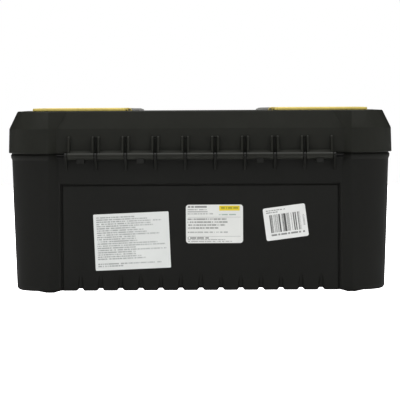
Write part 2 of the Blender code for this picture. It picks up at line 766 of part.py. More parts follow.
def make_lid():
    lid = add_object("lid", lid_outside(), (0.0, HINGE_Y, HINGE_Z))
    lid.data.materials.append(lid_plastic())
    hollow = cut(lid, "lid_hollow", [lid_inside()])
    for number, shapes in enumerate(lid_tubs()):
        cut(hollow, f"lid_tub_{number}", shapes)
    x = HANDLE_RECESS_X
    recess = box(-x, x, HANDLE_RECESS_FRONT_Y, HANDLE_RECESS_REAR_Y, HANDLE_RECESS_Z, OVER_Z)
    cut(lid, "lid_handle_recess", [recess])
    for name, sign in sides():
        cells, mouth = well_cutters(sign)
        cut(lid, f"lid_cells_{name}", cells)
        cut(lid, f"lid_mouth_{name}", [mouth])
        pockets, undercut = catch_pockets(sign)
        cut(lid, f"lid_catch_pockets_{name}", pockets)
        cut(lid, f"lid_catch_undercut_{name}", [undercut])
        cut(lid, f"lid_knuckle_pockets_{name}", knuckle_pockets(sign))
    join(lid, "lid_barrels", lid_barrels())
    join(lid, "lid_webs", lid_webs())
    join(lid, "lid_ribs", lid_ribs())
    join(lid, "lid_latch_ears", latch_ears())
    join(lid, "lid_eye", [padlock_eye(-LID_ROOT_Y, LID_LOW_Z + 0.0002)])
    cut(lid, "lid_holes", lid_holes())
    return lid


# ---- Pins ------------------------------------------------------------------------------------------------


def make_pins(body, lid):
    bright = steel()
    pin = add_object("hinge_pin", rod("X", HINGE_Y, HINGE_Z, PIN_RADIUS, -HINGE_PIN_HALF, HINGE_PIN_HALF))
    pin.data.materials.append(bright)
    attach(pin, body)
    for name, sign in sides():
        centre = sign * LATCH_X
        reach = LATCH_HALF_WIDTH + EAR_THICKNESS
        shape = rod("X", LATCH_PIVOT_Y, LATCH_PIVOT_Z, PIN_RADIUS, centre - reach, centre + reach, 16)
        pin = add_object(f"latch_pin_{name}", shape)
        pin.data.materials.append(bright)
        attach(pin, lid)
        x = sign * ORGANISER_HINGE_X
        half = ORGANISER_PIN_HALF
        shape = rod("Y", x, ORGANISER_HINGE_Z, ORGANISER_PIN_RADIUS, -half, half, 12)
        pin = add_object(f"organiser_pin_{name}", shape)
        pin.data.materials.append(bright)
        attach(pin, lid)


# ---- Latches ---------------------------------------------------------------------------------------------


def latch_outline():
    """The latch's side view: a knuckle, a curved plate and a pull at its foot."""
    outline = arc(LATCH_PIVOT_Y, LATCH_PIVOT_Z, LATCH_KNUCKLE, -40, 150, 9)
    outline += [(LATCH_FRONT_Y + 0.0008, LATCH_PIVOT_Z), (LATCH_FRONT_Y, LATCH_PIVOT_Z - 0.0040)]
    outline += [(LATCH_FRONT_Y, LATCH_LOW_Z + 0.0065), (LATCH_FRONT_Y + 0.0006, LATCH_LOW_Z)]
    outline += [(LATCH_BACK_Y + 0.0006, LATCH_LOW_Z), (LATCH_BACK_Y, LATCH_LOW_Z + 0.0045)]
    outline += [(LATCH_BACK_Y, LATCH_PIVOT_Z - 0.0060)]
    return outline


def make_latches(lid):
    finish = latch_plastic()
    for name, sign in sides():
        centre = sign * LATCH_X
        pivot = (centre, LATCH_PIVOT_Y, LATCH_PIVOT_Z)
        shape = prism("X", latch_outline(), centre - LATCH_HALF_WIDTH, centre + LATCH_HALF_WIDTH)
        latch = add_object(f"latch_{name}", shape, pivot)
        latch.data.materials.append(finish)
        root = LATCH_BACK_Y - 0.001
        top = CATCH_LIP_LOW_Z - HOOK_PLAY
        hook = [(root, top - 0.0062), (HOOK_TIP_Y - 0.0015, top - 0.0034), (HOOK_TIP_Y, top), (root, top)]
        hook_ends = (centre - HOOK_HALF_WIDTH, centre + HOOK_HALF_WIDTH)
        join(latch, f"latch_hook_{name}", [prism("X", hook, *hook_ends)])
        cut(latch, f"latch_hole_{name}", [latch_pin_hole(centre)])
        attach(latch, lid)


# ---- Handle ----------------------------------------------------------------------------------------------


def make_handle(lid):
    pivot = (0.0, 0.0, HANDLE_AXIS_Z)
    bar_y = -HANDLE_REACH
    half = HANDLE_ARM_X - 0.001
    handle = add_object("handle", rod("X", bar_y, HANDLE_AXIS_Z, HANDLE_BAR_RADIUS, -half, half, 20), pivot)
    handle.data.materials.append(handle_plastic())
    outline = arc(0.0, HANDLE_AXIS_Z, HANDLE_ARM_RADIUS, -90, 90, 8)
    outline += arc(bar_y, HANDLE_AXIS_Z, HANDLE_ARM_RADIUS + 0.0005, 90, 270, 8)
    arms = []
    stubs = []
    for _, sign in sides():
        x0, x1 = span(sign, HANDLE_ARM_X - HANDLE_ARM_THICKNESS, HANDLE_ARM_X)
        arms.append(prism("X", outline, x0, x1))
        x0, x1 = span(sign, HANDLE_ARM_X - 0.002, HANDLE_STUB_X)
        stubs.append(rod("X", 0.0, HANDLE_AXIS_Z, HANDLE_STUB_RADIUS, x0, x1))
    join(handle, "handle_arms", arms)
    join(handle, "handle_stubs", stubs)
    attach(handle, lid)

    grip = add_object("handle_grip", grip_shape(bar_y), pivot)
    grip.data.materials.append(grip_rubber())
    length = GRIP_HALF_LENGTH + 0.001
    bore = rod("X", bar_y, HANDLE_AXIS_Z, HANDLE_BAR_RADIUS + GAP, -length, length, 20)
    cut(grip, "grip_bore", [bore])
    attach(grip, handle)


def grip_shape(bar_y):
    """A barrel-shaped sleeve, a little thicker in its middle."""
    rings = []
    for step in range(7):
        along = -1 + step / 3
        radius = GRIP_RADIUS - 0.0012 * along * along
        if abs(along) == 1:
            radius -= 0.0012
        turn = arc(bar_y, HANDLE_AXIS_Z, radius, 0, 360 - 360 / 20, 19)
        rings.append([Vector((along * GRIP_HALF_LENGTH, a, b)) for a, b in turn])
    return loft(rings)


# ---- Organiser lids --------------------------------------------------------------------------------------


def organiser_plate(sign):
    radii = (0.014, 0.006, 0.006, 0.014)
    plate = rounded(ORGANISER_INNER_X, ORGANISER_OUTER_X, -ORGANISER_Y, ORGANISER_Y, radii)
    return prism("Z", mirrored(plate, sign), LID_TOP_Z + GAP, ORGANISER_TOP_Z)


def organiser_lip(sign):
    """The frame under the plate that drops into the well's mouth: its outside and its inside."""
    x0, x1 = span(sign, WELL_INNER_X + 0.0005, WELL_OUTER_X - 0.0005)
    y = WELL_Y - 0.0005
    outer = box(x0, x1, -y, y, LID_TOP_Z - 0.0018, LID_TOP_Z + 0.0010)
    wall = ORGANISER_LIP
    inner = box(x0 + wall, x1 - wall, -y + wall, y - wall, LID_TOP_Z - 0.0030, LID_TOP_Z + GAP)
    return outer, inner


def organiser_knuckles(sign):
    """Knuckles sunk below the lid's top, each on an arm from the plate's outer edge."""
    x, z = ORGANISER_HINGE_X, ORGANISER_HINGE_Z
    edge = ORGANISER_OUTER_X
    root = LID_TOP_Z + GAP + 0.0008
    outline = arc(x, z, ORGANISER_KNUCKLE, -135, 150, 14)
    outline += [(edge, root), (edge - 0.0030, root), (edge - 0.0030, root - 0.0007)]
    outline += [(edge - 0.0004, root - 0.0007), (edge - 0.0004, z + 0.0005)]
    shapes = []
    for y in (-KNUCKLE_Y, KNUCKLE_Y):
        shapes.append(prism("Y", mirrored(outline, sign), y - KNUCKLE_HALF, y + KNUCKLE_HALF))
    return shapes


def organiser_ears(sign):
    """Two ears that hold the flip catch's stubs."""
    outline = arc(FLIP_AXIS_X, FLIP_AXIS_Z, FLIP_BARREL, 90, 330, 10)
    outline += [(FLIP_AXIS_X + 0.0026, LID_TOP_Z + GAP + 0.0001), (0.0800, LID_TOP_Z + GAP + 0.0001)]
    outline += [(0.0800, FLIP_AXIS_Z + FLIP_BARREL)]
    shapes = []
    for side in (-1, 1):
        near = side * (FLIP_HALF_WIDTH + GAP)
        far = near + side * FLIP_EAR
        shapes.append(prism("Y", mirrored(outline, sign), min(near, far), max(near, far)))
    return shapes


def make_organiser(name, sign, lid, finish, catch_finish):
    hinge = (sign * ORGANISER_HINGE_X, 0.0, ORGANISER_HINGE_Z)
    cover = add_object(f"organiser_lid_{name}", organiser_plate(sign), hinge)
    cover.data.materials.append(finish)
    outer, inner = organiser_lip(sign)
    join(cover, f"organiser_lip_{name}", [outer])
    cut(cover, f"organiser_lip_inside_{name}", [inner])
    join(cover, f"organiser_knuckles_{name}", organiser_knuckles(sign))
    join(cover, f"organiser_ears_{name}", organiser_ears(sign))
    radius = ORGANISER_PIN_RADIUS + GAP
    half = ORGANISER_HOLE_HALF
    pin = rod("Y", sign * ORGANISER_HINGE_X, ORGANISER_HINGE_Z, radius, -half, half, 12)
    half = FLIP_HOLE_HALF
    stubs = rod("Y", sign * FLIP_AXIS_X, FLIP_AXIS_Z, FLIP_STUB_RADIUS + GAP, -half, half, 12)
    cut(cover, f"organiser_holes_{name}", [pin, stubs])
    attach(cover, lid)

    pivot = (sign * FLIP_AXIS_X, 0.0, FLIP_AXIS_Z)
    barrel = rod("Y", sign * FLIP_AXIS_X, FLIP_AXIS_Z, FLIP_BARREL, -FLIP_HALF_WIDTH, FLIP_HALF_WIDTH, 16)
    catch = add_object(f"organiser_catch_{name}", barrel, pivot)
    catch.data.materials.append(catch_finish)
    plate = [(FLIP_AXIS_X + a, FLIP_AXIS_Z + b) for a, b in CATCH_OUTLINE]
    half = CATCH_HALF_WIDTH
    join(catch, f"catch_plate_{name}", [prism("Y", mirrored(plate, sign), -half, half)])
    reach = FLIP_HALF_WIDTH + 0.0035
    stub = rod("Y", sign * FLIP_AXIS_X, FLIP_AXIS_Z, FLIP_STUB_RADIUS, -reach, reach, 12)
    join(catch, f"catch_stubs_{name}", [stub])
    attach(catch, cover)


# ---- Tray ------------------------------------------------------------------------------------------------


def tray_outside():
    levels = (
        (TRAY_LOW_Z, TRAY_LOW_X, TRAY_LOW_Y),
        (TRAY_FLANGE_Z, TRAY_HIGH_X, TRAY_HIGH_Y),
        (TRAY_FLANGE_Z, TRAY_FLANGE_X, TRAY_FLANGE_Y),
        (TRAY_TOP_Z, TRAY_FLANGE_X, TRAY_FLANGE_Y),
    )
    return loft([plan_ring(z, x, y, 0.0, TRAY_SLANT_X, 0.0, TRAY_RIDGE_X) for z, x, y in levels])


def tray_cell(x0, x1, y0, y1):
    """One compartment, rounded widely where it lies in one of the tray's own corners."""
    corners = ((x1, y1), (x0, y1), (x0, y0), (x1, y0))
    at_end = TRAY_LOW_X - 0.010
    in_corner = [abs(x) > at_end and abs(y) > TRAY_SPINE for x, y in corners]
    radii = [CORNER_CELL_RADIUS if corner else CELL_RADIUS for corner in in_corner]
    return prism("Z", rounded(x0, x1, y0, y1, radii), TRAY_LOW_Z + TRAY_WALL, TRAY_TOP_Z + 0.001)


def tray_cells():
    """A long compartment along the front and a row of smaller ones along the rear."""
    half_x = TRAY_LOW_X - TRAY_WALL
    outer_y = TRAY_LOW_Y - TRAY_WALL
    cells = [tray_cell(-half_x, half_x, -outer_y, -TRAY_SPINE)]
    pitch = (2 * half_x + TRAY_WALL) / TRAY_CELLS
    for i in range(TRAY_CELLS):
        x0 = -half_x + i * pitch
        cells.append(tray_cell(x0, x0 + pitch - TRAY_WALL, TRAY_SPINE, outer_y))
    return cells


def divider_guides():
    """Pairs of small ribs on the tray's front wall and spine, between which the loose dividers slide."""
    z0, z1 = TRAY_LOW_Z + 0.001, TRAY_TOP_Z - 0.006
    shapes = []
    for x in (-DIVIDER_X, DIVIDER_X):
        for side in (-1, 1):
            near = x + side * (DIVIDER_THICKNESS / 2 + GAP)
            far = near + side * GUIDE_THICKNESS
            x0, x1 = min(near, far), max(near, far)
            wall = -TRAY_LOW_Y + TRAY_WALL
            shapes.append(box(x0, x1, wall - 0.0010, wall + GUIDE_DEPTH, z0, z1))
            shapes.append(box(x0, x1, -TRAY_SPINE - GUIDE_DEPTH, -TRAY_SPINE + 0.0010, z0, z1))
    return shapes


def grip_holds():
    """Finger holds sunk into both faces of the spine, leaving a rail along its top to lift the tray by."""
    outline = rounded(-GRIP_HOLD_X, GRIP_HOLD_X, GRIP_HOLD_LOW_Z, GRIP_HOLD_TOP_Z, [0.009] * 4)
    web = TRAY_SPINE - GRIP_HOLD_DEPTH
    face = TRAY_SPINE + 0.0001
    return [prism("Y", outline, web, face), prism("Y", outline, -face, -web)]


def make_tray(body):
    tray = add_object("tray", tray_outside(), (0.0, 0.0, TRAY_FLANGE_Z))
    tray.data.materials.append(tray_plastic())
    cut(tray, "tray_cells", tray_cells())
    join(tray, "tray_guides", divider_guides())
    cut(tray, "tray_grip_holds", grip_holds())
    attach(tray, body)
    finish = tray_plastic()
    for name, sign in sides():
        x = sign * DIVIDER_X
        half = DIVIDER_THICKNESS / 2
        y0 = -TRAY_LOW_Y + TRAY_WALL + GAP
        y1 = -TRAY_SPINE - GAP
        shape = box(x - half, x + half, y0, y1, TRAY_LOW_Z + TRAY_WALL + GAP, TRAY_TOP_Z - 0.007)
        divider = add_object(f"tray_divider_{name}", shape)
        divider.data.materials.append(finish)
        attach(divider, tray)


# ---- Stickers --------------------------------------------------------------------------------------------


def make_stickers(body):
    finish = paper()
    lean = -math.atan2(BODY_TOP_Y - BODY_LOW_Y, BODY_TOP_Z - BODY_LOW_Z)
    for name, x, z, width, height, turn, radius in STICKERS:
        outline = rounded(-width / 2, width / 2, -height / 2, height / 2, [radius] * 4, 3)
        half = STICKER_THICKNESS / 2
        sticker = add_object(name, prism("Y", outline, -half, half))
        sticker.data.materials.append(finish)
        y = body_face_y(z) - PANEL_DEPTH + GAP + half
        turned = Matrix.Rotation(lean, 4, "X") @ Matrix.Rotation(math.radians(turn), 4, "Y")
        sticker.matrix_world = Matrix.Translation((x, y, z)) @ turned
        sticker.parent = body


def build():
    clear_scene()
    body = make_body()
    lid = make_lid()
    make_pins(body, lid)
    make_latches(lid)
    make_handle(lid)
    finish = organiser_plastic()
    catch_finish = latch_plastic()
    for name, sign in sides():
        make_organiser(name, sign, lid, finish, catch_finish)
    make_tray(body)
    make_stickers(body)


build()
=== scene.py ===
import math

import bmesh
import bpy
from mathutils import Matrix, Quaternion, Vector
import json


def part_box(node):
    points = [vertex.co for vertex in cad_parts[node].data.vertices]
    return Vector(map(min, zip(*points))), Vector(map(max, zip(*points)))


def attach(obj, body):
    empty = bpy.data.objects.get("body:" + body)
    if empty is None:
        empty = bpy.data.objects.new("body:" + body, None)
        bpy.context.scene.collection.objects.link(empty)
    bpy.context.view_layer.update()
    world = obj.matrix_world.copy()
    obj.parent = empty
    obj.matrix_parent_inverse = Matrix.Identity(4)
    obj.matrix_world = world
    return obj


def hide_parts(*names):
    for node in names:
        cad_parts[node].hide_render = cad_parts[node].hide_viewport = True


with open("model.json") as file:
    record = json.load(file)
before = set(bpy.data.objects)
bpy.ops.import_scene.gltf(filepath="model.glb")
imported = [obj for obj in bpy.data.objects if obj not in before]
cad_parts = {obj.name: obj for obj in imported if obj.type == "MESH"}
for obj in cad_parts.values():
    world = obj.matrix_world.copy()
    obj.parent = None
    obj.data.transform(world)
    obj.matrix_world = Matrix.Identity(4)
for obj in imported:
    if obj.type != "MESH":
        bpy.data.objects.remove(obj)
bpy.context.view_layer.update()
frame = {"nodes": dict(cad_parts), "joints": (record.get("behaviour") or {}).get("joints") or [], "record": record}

# ---- Places that the frame gives ----

joint_place = {joint["name"]: Vector(joint["pos_m"]) for joint in frame["joints"] if "pos_m" in joint}
mount_place = {mount["name"]: Vector(mount["pos_m"]) for mount in frame["record"]["mounts"]}

HINGE = joint_place["lid_hinge"]
HANDLE = joint_place["handle_fold"]
LATCH = joint_place["latch_right_swing"]
COVER = joint_place["organiser_right_hinge"]
FLIP = joint_place["organiser_catch_right_flip"]

LID_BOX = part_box("lid")
TRAY_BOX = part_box("tray")
LATCH_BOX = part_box("latch_right")
COVER_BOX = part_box("organiser_lid_right")
GRIP_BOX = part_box("handle_grip")

LID_LOW_Z = HINGE.z + 0.0033
LID_TOP_Z = mount_place["lid_top"].z
FLOOR_Z = mount_place["tub_floor"].z
TRAY_FLOOR_Z = mount_place["tray_floor"].z
COVER_TOP_Z = COVER_BOX[1].z

# ---- Sizes, in metres ----

SHELL = 0.0025
GAP = 0.0003

# Reach of the cutters past whatever they cut
OVER = 0.20
FAR = 0.30

# Plan of the mouldings: round corner pillars, with the middle of every face set back between them
RIDGE_X = 0.1590
CORNER_STEPS = 18
SIDE_SLANT_Y = 0.0480
SIDE_SETBACK = 0.0020

# Tub
TUB_LOW_X = 0.1948
TUB_LOW_Y = 0.0910
TUB_LOW_Z = 0.0060
TUB_TOP_X = 0.1996
TUB_TOP_Y = 0.0950
TUB_TOP_Z = 0.1390
TUB_SETBACK = 0.0062
TUB_SLANT_X = 0.1490
FOOT_HEIGHT = 0.0020
RIM_X = 0.2008
RIM_TOP_Z = LID_LOW_Z - 0.0017
TONGUE_X = 0.1998
TONGUE_TOP_Z = 0.1495
TONGUE_SLANT_X = 0.1515
PANEL_HALF_X = 0.1467
PANEL_HALF_Y = 0.0440
PANEL_TOP_Z = 0.1142
PANEL_DEPTH = 0.0025
SIDE_PANEL_DEPTH = 0.0020
GROOVE_WIDTH = 0.0021
GROOVE_DEPTH = 0.0015
FLUTE_COUNT = 13
FLUTE_PITCH = 0.0211
FLUTE_WIDTH = 0.0068
FLUTE_DEPTH = 0.0040
FLUTE_TOP_Z = 0.0186
CHANNEL_TOP_Z = 0.0042
FITTING_ROOT_Y = 0.0870

# Lid
LID_X = LID_BOX[1].x
LID_Y = 0.0986
LID_SHOULDER_Z = LID_TOP_Z - 0.0185
LID_TAPER = 0.0007
LID_CHAMFER = 0.0090
LID_SETBACK = 0.0070
LID_TOP_SETBACK = 0.0050
LID_SLANT_X = 0.1508
LID_TOP_SLANT_X = 0.1390

# Rear hinge
BARREL_RADIUS = 0.0036
BARREL_COUNT = 9
BARREL_PITCH = 0.03125
BARREL_LENGTH = 0.0275
FIN_THICKNESS = 0.0026
FIN_LOW_Z = HINGE.z - 0.0151
RIB_THICKNESS = 0.0024
RIB_TOP_Z = HINGE.z + 0.0208
RIB_SLOT_DEPTH = 0.0016
NUB_UNITS = (-4, -2, 2, 4)
NUB_WIDTH = 0.0080
NUB_LOW_Z = HINGE.z - 0.0074
PIN_HOLE = 0.0018
PIN_REACH = 0.1550

# Front latches and the padlock eye
LATCH_HALF_WIDTH = 0.5 * (LATCH_BOX[1].x - LATCH_BOX[0].x)
LATCH_KNUCKLE = 0.0042
LATCH_FRONT_Y = -0.1025
LATCH_BACK_Y = -0.0985
LATCH_LOW_Z = LATCH.z - 0.0455
EAR_THICKNESS = 0.0040
EAR_ROOT_Y = -0.0898
HOOK_HALF_WIDTH = 0.0220
RIDGE_COUNT = 4
RIDGE_PITCH = 0.0024
KEEPER_LOW_Z = LATCH.z - 0.0330
EYE_HALF_WIDTH = 0.0120
EYE_FRONT_Y = -0.1005
EYE_ROOT_Y = -0.0880
EYE_HOLE_Y = -0.0960
EYE_HOLE_RADIUS = 0.0033

# Handle and its recess
RECESS_X = 0.0525
RECESS_FRONT_Y = -0.0580
RECESS_REAR_Y = 0.0090
RECESS_Z = LID_TOP_Z - 0.0220
HANDLE_BLOCK_Y = 0.0260
HANDLE_BLOCK_DEPTH = 0.0160
ARM_X = 0.0519
ARM_THICKNESS = 0.0065
ARM_RADIUS = 0.0060
STUB_RADIUS = 0.0035
STUB_X = 0.0568
BAR_Y = 0.5 * (GRIP_BOX[0].y + GRIP_BOX[1].y)
BAR_RADIUS = 0.0055
GRIP_RADIUS = 0.5 * (GRIP_BOX[1].z - GRIP_BOX[0].z)
GRIP_HALF_LENGTH = GRIP_BOX[1].x
GRIP_RIM = 0.0015
GRIP_SIDES = 40

# Organisers
WELL_INNER_X = 0.0820
WELL_OUTER_X = 0.1735
WELL_Y = 0.0720
WELL_FLOOR_Z = LID_TOP_Z - 0.0240
WELL_DIVIDER_TOP_Z = LID_TOP_Z - 0.0025
WELL_DIVIDER = 0.0020
WELL_CELLS = 3
COVER_INNER_X = 0.0786
COVER_OUTER_X = 0.1770
COVER_Y = COVER_BOX[1].y
COVER_KNUCKLE = 0.0024
KNUCKLE_Y = 0.0400
KNUCKLE_HALF = 0.0100
COVER_BLOCK_Y = 0.0625
COVER_BLOCK_DEPTH = 0.0075
FLIP_BARREL = 0.0024
FLIP_HALF_WIDTH = 0.0160
FLIP_EAR = 0.0050

# Tray
TRAY_LOW_Z = TRAY_BOX[0].z
TRAY_TOP_Z = TRAY_BOX[1].z
TRAY_FLANGE_Z = TRAY_TOP_Z - 0.0025
TRAY_RIDGE_X = 0.1500
TRAY_LOW_X = 0.1805
TRAY_LOW_Y = 0.0725
TRAY_HIGH_X = 0.1845
TRAY_HIGH_Y = 0.0760
TRAY_FLANGE_X = TRAY_BOX[1].x
TRAY_FLANGE_Y = TRAY_BOX[1].y
TRAY_WALL = 0.0020
TRAY_SPINE = 0.0090
TRAY_CELLS = 4
LEDGE_X = 0.1855
LEDGE_HALF_Y = 0.0520
DIVIDER_X = 0.0620
DIVIDER_THICKNESS = 0.0018

# Edge roundings
FINE_EDGE = 0.0004
SOFT_EDGE = 0.0007
SHARP_ANGLE = math.radians(40)

# ---- Outlines and closed shapes ----


def arc(centre_a, centre_b, radius, start, end, steps):
    """Points along an arc, from the start angle to the end angle in degrees."""
    points = []
    for step in range(steps + 1):
        angle = math.radians(start + (end - start) * step / steps)
        points.append((centre_a + radius * math.cos(angle), centre_b + radius * math.sin(angle)))
    return points


def filleted(corners, closed=True):
    """An outline of (a, b, radius, steps) corners, each rounded by an arc. An open one keeps its ends."""
    points = []
    last = len(corners) - 1
    for i, (a, b, radius, steps) in enumerate(corners):
        if radius == 0 or (not closed and i in (0, last)):
            points.append((a, b))
            continue
        here = Vector((a, b))
        back = (Vector(corners[i - 1][:2]) - here).normalized()
        ahead = (Vector(corners[(i + 1) % (last + 1)][:2]) - here).normalized()
        half = 0.5 * back.angle(ahead)
        centre = here + (back + ahead).normalized() * radius / math.sin(half)
        start = here + back * radius / math.tan(half) - centre
        end = here + ahead * radius / math.tan(half) - centre
        first = math.degrees(math.atan2(start.y, start.x))
        sweep = (math.degrees(math.atan2(end.y, end.x)) - first + 180) % 360 - 180
        points += arc(centre.x, centre.y, radius, first, first + sweep, steps)
    return points


def rounded(x0, x1, y0, y1, radii, steps=6):
    """A rectangle with its own radius at each corner: high-high, low-high, low-low, then high-low."""
    corners = ((x1, y1), (x0, y1), (x0, y0), (x1, y0))
    return filleted([(x, y, radius, steps) for (x, y), radius in zip(corners, radii)])


def plan(half_x, half_y, setback, slant_x, side_setback=SIDE_SETBACK, ridge_x=RIDGE_X):
    """The outline of the mouldings: four mirrored quarters with every edge between two faces rounded."""
    radius = half_x - ridge_x
    corners = [
        (half_x - side_setback, 0.0, 0.0, 0),
        (half_x - side_setback, SIDE_SLANT_Y, 0.006, 3),
        (half_x, half_y - radius + 0.001, 0.006, 3),
        (half_x, half_y, radius - 0.002, CORNER_STEPS),
        (ridge_x, half_y, 0.0045, 4),
        (slant_x, half_y - setback, 0.003, 3),
        (0.0, half_y - setback, 0.0, 0),
    ]
    points = filleted(corners, closed=False)[1:-1]
    back = points[::-1]
    outline = points + [(-x, y) for x, y in back]
    return outline + [(-x, -y) for x, y in points] + [(x, -y) for x, y in back]


def loft(rings):
    """A closed solid through outlines of equally many points, from the lowest to the highest."""
    bm = bmesh.new()
    loops = [[bm.verts.new(point) for point in ring] for ring in rings]
    count = len(loops[0])
    for low, high in zip(loops, loops[1:]):
        for i in range(count):
            j = (i + 1) % count
            bm.faces.new((low[i], low[j], high[j], high[i]))
    bm.faces.new(list(reversed(loops[0])))
    bm.faces.new(loops[-1])
    bmesh.ops.recalc_face_normals(bm, faces=bm.faces)
    return bm


def stack(rows):
    """A loft through (z, outline) rows."""
    return loft([[Vector((x, y, z)) for x, y in outline] for z, outline in rows])


def prism(axis, outline, low, high):
    """An outline extruded along an axis: (y, z) points along X, (x, z) along Y, or (x, y) along Z.
    Its two ends come in either order."""
    place = {
        "X": lambda a, b, c: Vector((c, a, b)),
        "Y": lambda a, b, c: Vector((a, c, b)),
        "Z": lambda a, b, c: Vector((a, b, c)),
    }[axis]
    return loft([[place(a, b, end) for a, b in outline] for end in sorted((low, high))])


def box(x0, x1, y0, y1, z0, z1):
    return prism("Z", [(x0, y0), (x1, y0), (x1, y1), (x0, y1)], z0, z1)


def rod(axis, centre_a, centre_b, radius, low, high, sides=32):
    turn = 360.0 / sides
    return prism(axis, arc(centre_a, centre_b, radius, 0.0, 360.0 - turn, sides - 1), low, high)


def slab(axis, outline, centre, half):
    return prism(axis, outline, centre - half, centre + half)


def pair(axis, outline, centre, start, thickness):
    """Two mirrored prisms that start at a distance from the centre. A negative thickness runs back."""
    shapes = []
    for side in (-1, 1):
        near = centre + side * start
        shapes.append(prism(axis, outline, near, near + side * thickness))
    return shapes


def hull(points):
    bm = bmesh.new()
    for point in points:
        bm.verts.new(point)
    bmesh.ops.convex_hull(bm, input=bm.verts)
    bmesh.ops.recalc_face_normals(bm, faces=bm.faces)
    return bm


def sides():
    """(name, sign of X) of the two sides."""
    return (("left", -1), ("right", 1))


def mirrored(outline, sign):
    """An outline on the chosen side of X = 0."""
    return [(sign * a, b) for a, b in outline]


def span(sign, low, high):
    """The ends of a stretch along X on the chosen side, lowest first."""
    return (low, high) if sign > 0 else (-high, -low)


# ---- Pieces ----


def merged(name, shapes):
    """Separate closed shapes in one mesh."""
    joined = bmesh.new()
    for shape in shapes:
        part = bpy.data.meshes.new(name)
        shape.to_mesh(part)
        shape.free()
        joined.from_mesh(part)
        bpy.data.meshes.remove(part)
    mesh = bpy.data.meshes.new(name)
    joined.to_mesh(mesh)
    joined.free()
    return mesh


def raw(name, shapes):
    obj = bpy.data.objects.new(name, merged(name, shapes))
    bpy.context.scene.collection.objects.link(obj)
    return obj


def boolean(obj, operation, shapes):
    helper = raw(obj.name + "_helper", shapes)
    modifier = obj.modifiers.new(operation, "BOOLEAN")
    modifier.operation = operation
    modifier.object = helper
    return helper


def cut(obj, shapes):
    return boolean(obj, "DIFFERENCE", shapes)


def join(obj, shapes):
    return boolean(obj, "UNION", shapes)


def apply_booleans(obj):
    """Replaces the object's mesh with what its Booleans leave, and removes their helpers."""
    graph = bpy.context.evaluated_depsgraph_get()
    mesh = bpy.data.meshes.new_from_object(obj.evaluated_get(graph))
    waiting = [obj]
    helpers = []
    while waiting:
        for modifier in waiting.pop().modifiers:
            helpers.append(modifier.object)
            waiting.append(modifier.object)
    obj.modifiers.clear()
    obj.data = mesh
    for helper in set(helpers):
        bpy.data.objects.remove(helper, do_unlink=True)


def round_edges(mesh, width, segments, limit=24):
    """Merges coplanar faces, then rounds each edge whose faces turn by more than the limit in degrees."""
    bm = bmesh.new()
    bm.from_mesh(mesh)
    bmesh.ops.remove_doubles(bm, verts=bm.verts, dist=0.00002)
    bmesh.ops.dissolve_limit(bm, angle_limit=math.radians(0.4), verts=bm.verts, edges=bm.edges)
    paired = [edge for edge in bm.edges if len(edge.link_faces) == 2]
    edges = [edge for edge in paired if edge.calc_face_angle() > math.radians(limit)]
    if edges and width:
        bmesh.ops.bevel(
            bm, geom=edges, offset=width, segments=segments, profile=0.5,
            offset_type="OFFSET", affect="EDGES", clamp_overlap=False,
        )
    bm.to_mesh(mesh)
    bm.free()


def smooth(obj, finish):
    """Gives an object its finish and smooth shading that follows its larger faces."""
    obj.data.materials.clear()
    obj.data.materials.append(finish)
    obj.data.shade_smooth()
    weighted = obj.modifiers.new("weighted_normals", "WEIGHTED_NORMAL")
    weighted.keep_sharp = True


def settle(obj, body, finish, width=FINE_EDGE, segments=2, stands_for=()):
    """Makes a raw object into a finished piece that rides on a body."""
    if obj.modifiers:
        apply_booleans(obj)
    round_edges(obj.data, width, segments)
    smooth(obj, finish)
    obj.data.set_sharp_from_angle(angle=SHARP_ANGLE)
    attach(obj, body)
    if stands_for:
        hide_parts(*stands_for)
    return obj


# ---- Tub ----


def tub_half(z, low, top):
    return low + (top - low) * (z - TUB_LOW_Z) / (TUB_TOP_Z - TUB_LOW_Z)


def tub_face_y(z):
    """The rear face between the pillars, above the panel."""
    return tub_half(z, TUB_LOW_Y, TUB_TOP_Y) - TUB_SETBACK


def tub_depth(half_x, z):
    """Half the tub's depth where it is half_x wide on each side."""
    return half_x - tub_half(z, TUB_LOW_X, TUB_TOP_X) + tub_half(z, TUB_LOW_Y, TUB_TOP_Y)


def tub_outside():
    foot_x = tub_half(FOOT_HEIGHT, TUB_LOW_X, TUB_TOP_X)
    path = [
        (foot_x - 0.0080, FOOT_HEIGHT, 0.0, 0),
        (foot_x, FOOT_HEIGHT, 0.0038, 6),
        (TUB_TOP_X, TUB_TOP_Z, 0.0008, 2),
        (RIM_X, TUB_TOP_Z + 0.0030, 0.0012, 3),
        (RIM_X, RIM_TOP_Z, 0.0007, 3),
        (TONGUE_X, RIM_TOP_Z, 0.0, 0),
        (TONGUE_X, TONGUE_TOP_Z, 0.0005, 2),
        (TONGUE_X - 0.0012, TONGUE_TOP_Z, 0.0, 0),
    ]
    rows = []
    for half_x, z in filleted(path, closed=False):
        on_rim = min(max((z - TUB_TOP_Z) / 0.003, 0.0), 1.0)
        slant = TUB_SLANT_X + on_rim * (LID_SLANT_X - TUB_SLANT_X)
        setback = TUB_SETBACK + on_rim * (LID_SETBACK - TUB_SETBACK)
        if z > RIM_TOP_Z - 0.00001 and half_x < TONGUE_X + 0.0001:
            slant = TONGUE_SLANT_X
            setback = LID_SETBACK - 0.0002
        rows.append((z, plan(half_x, tub_depth(half_x, z), setback, slant)))
    return stack(rows)


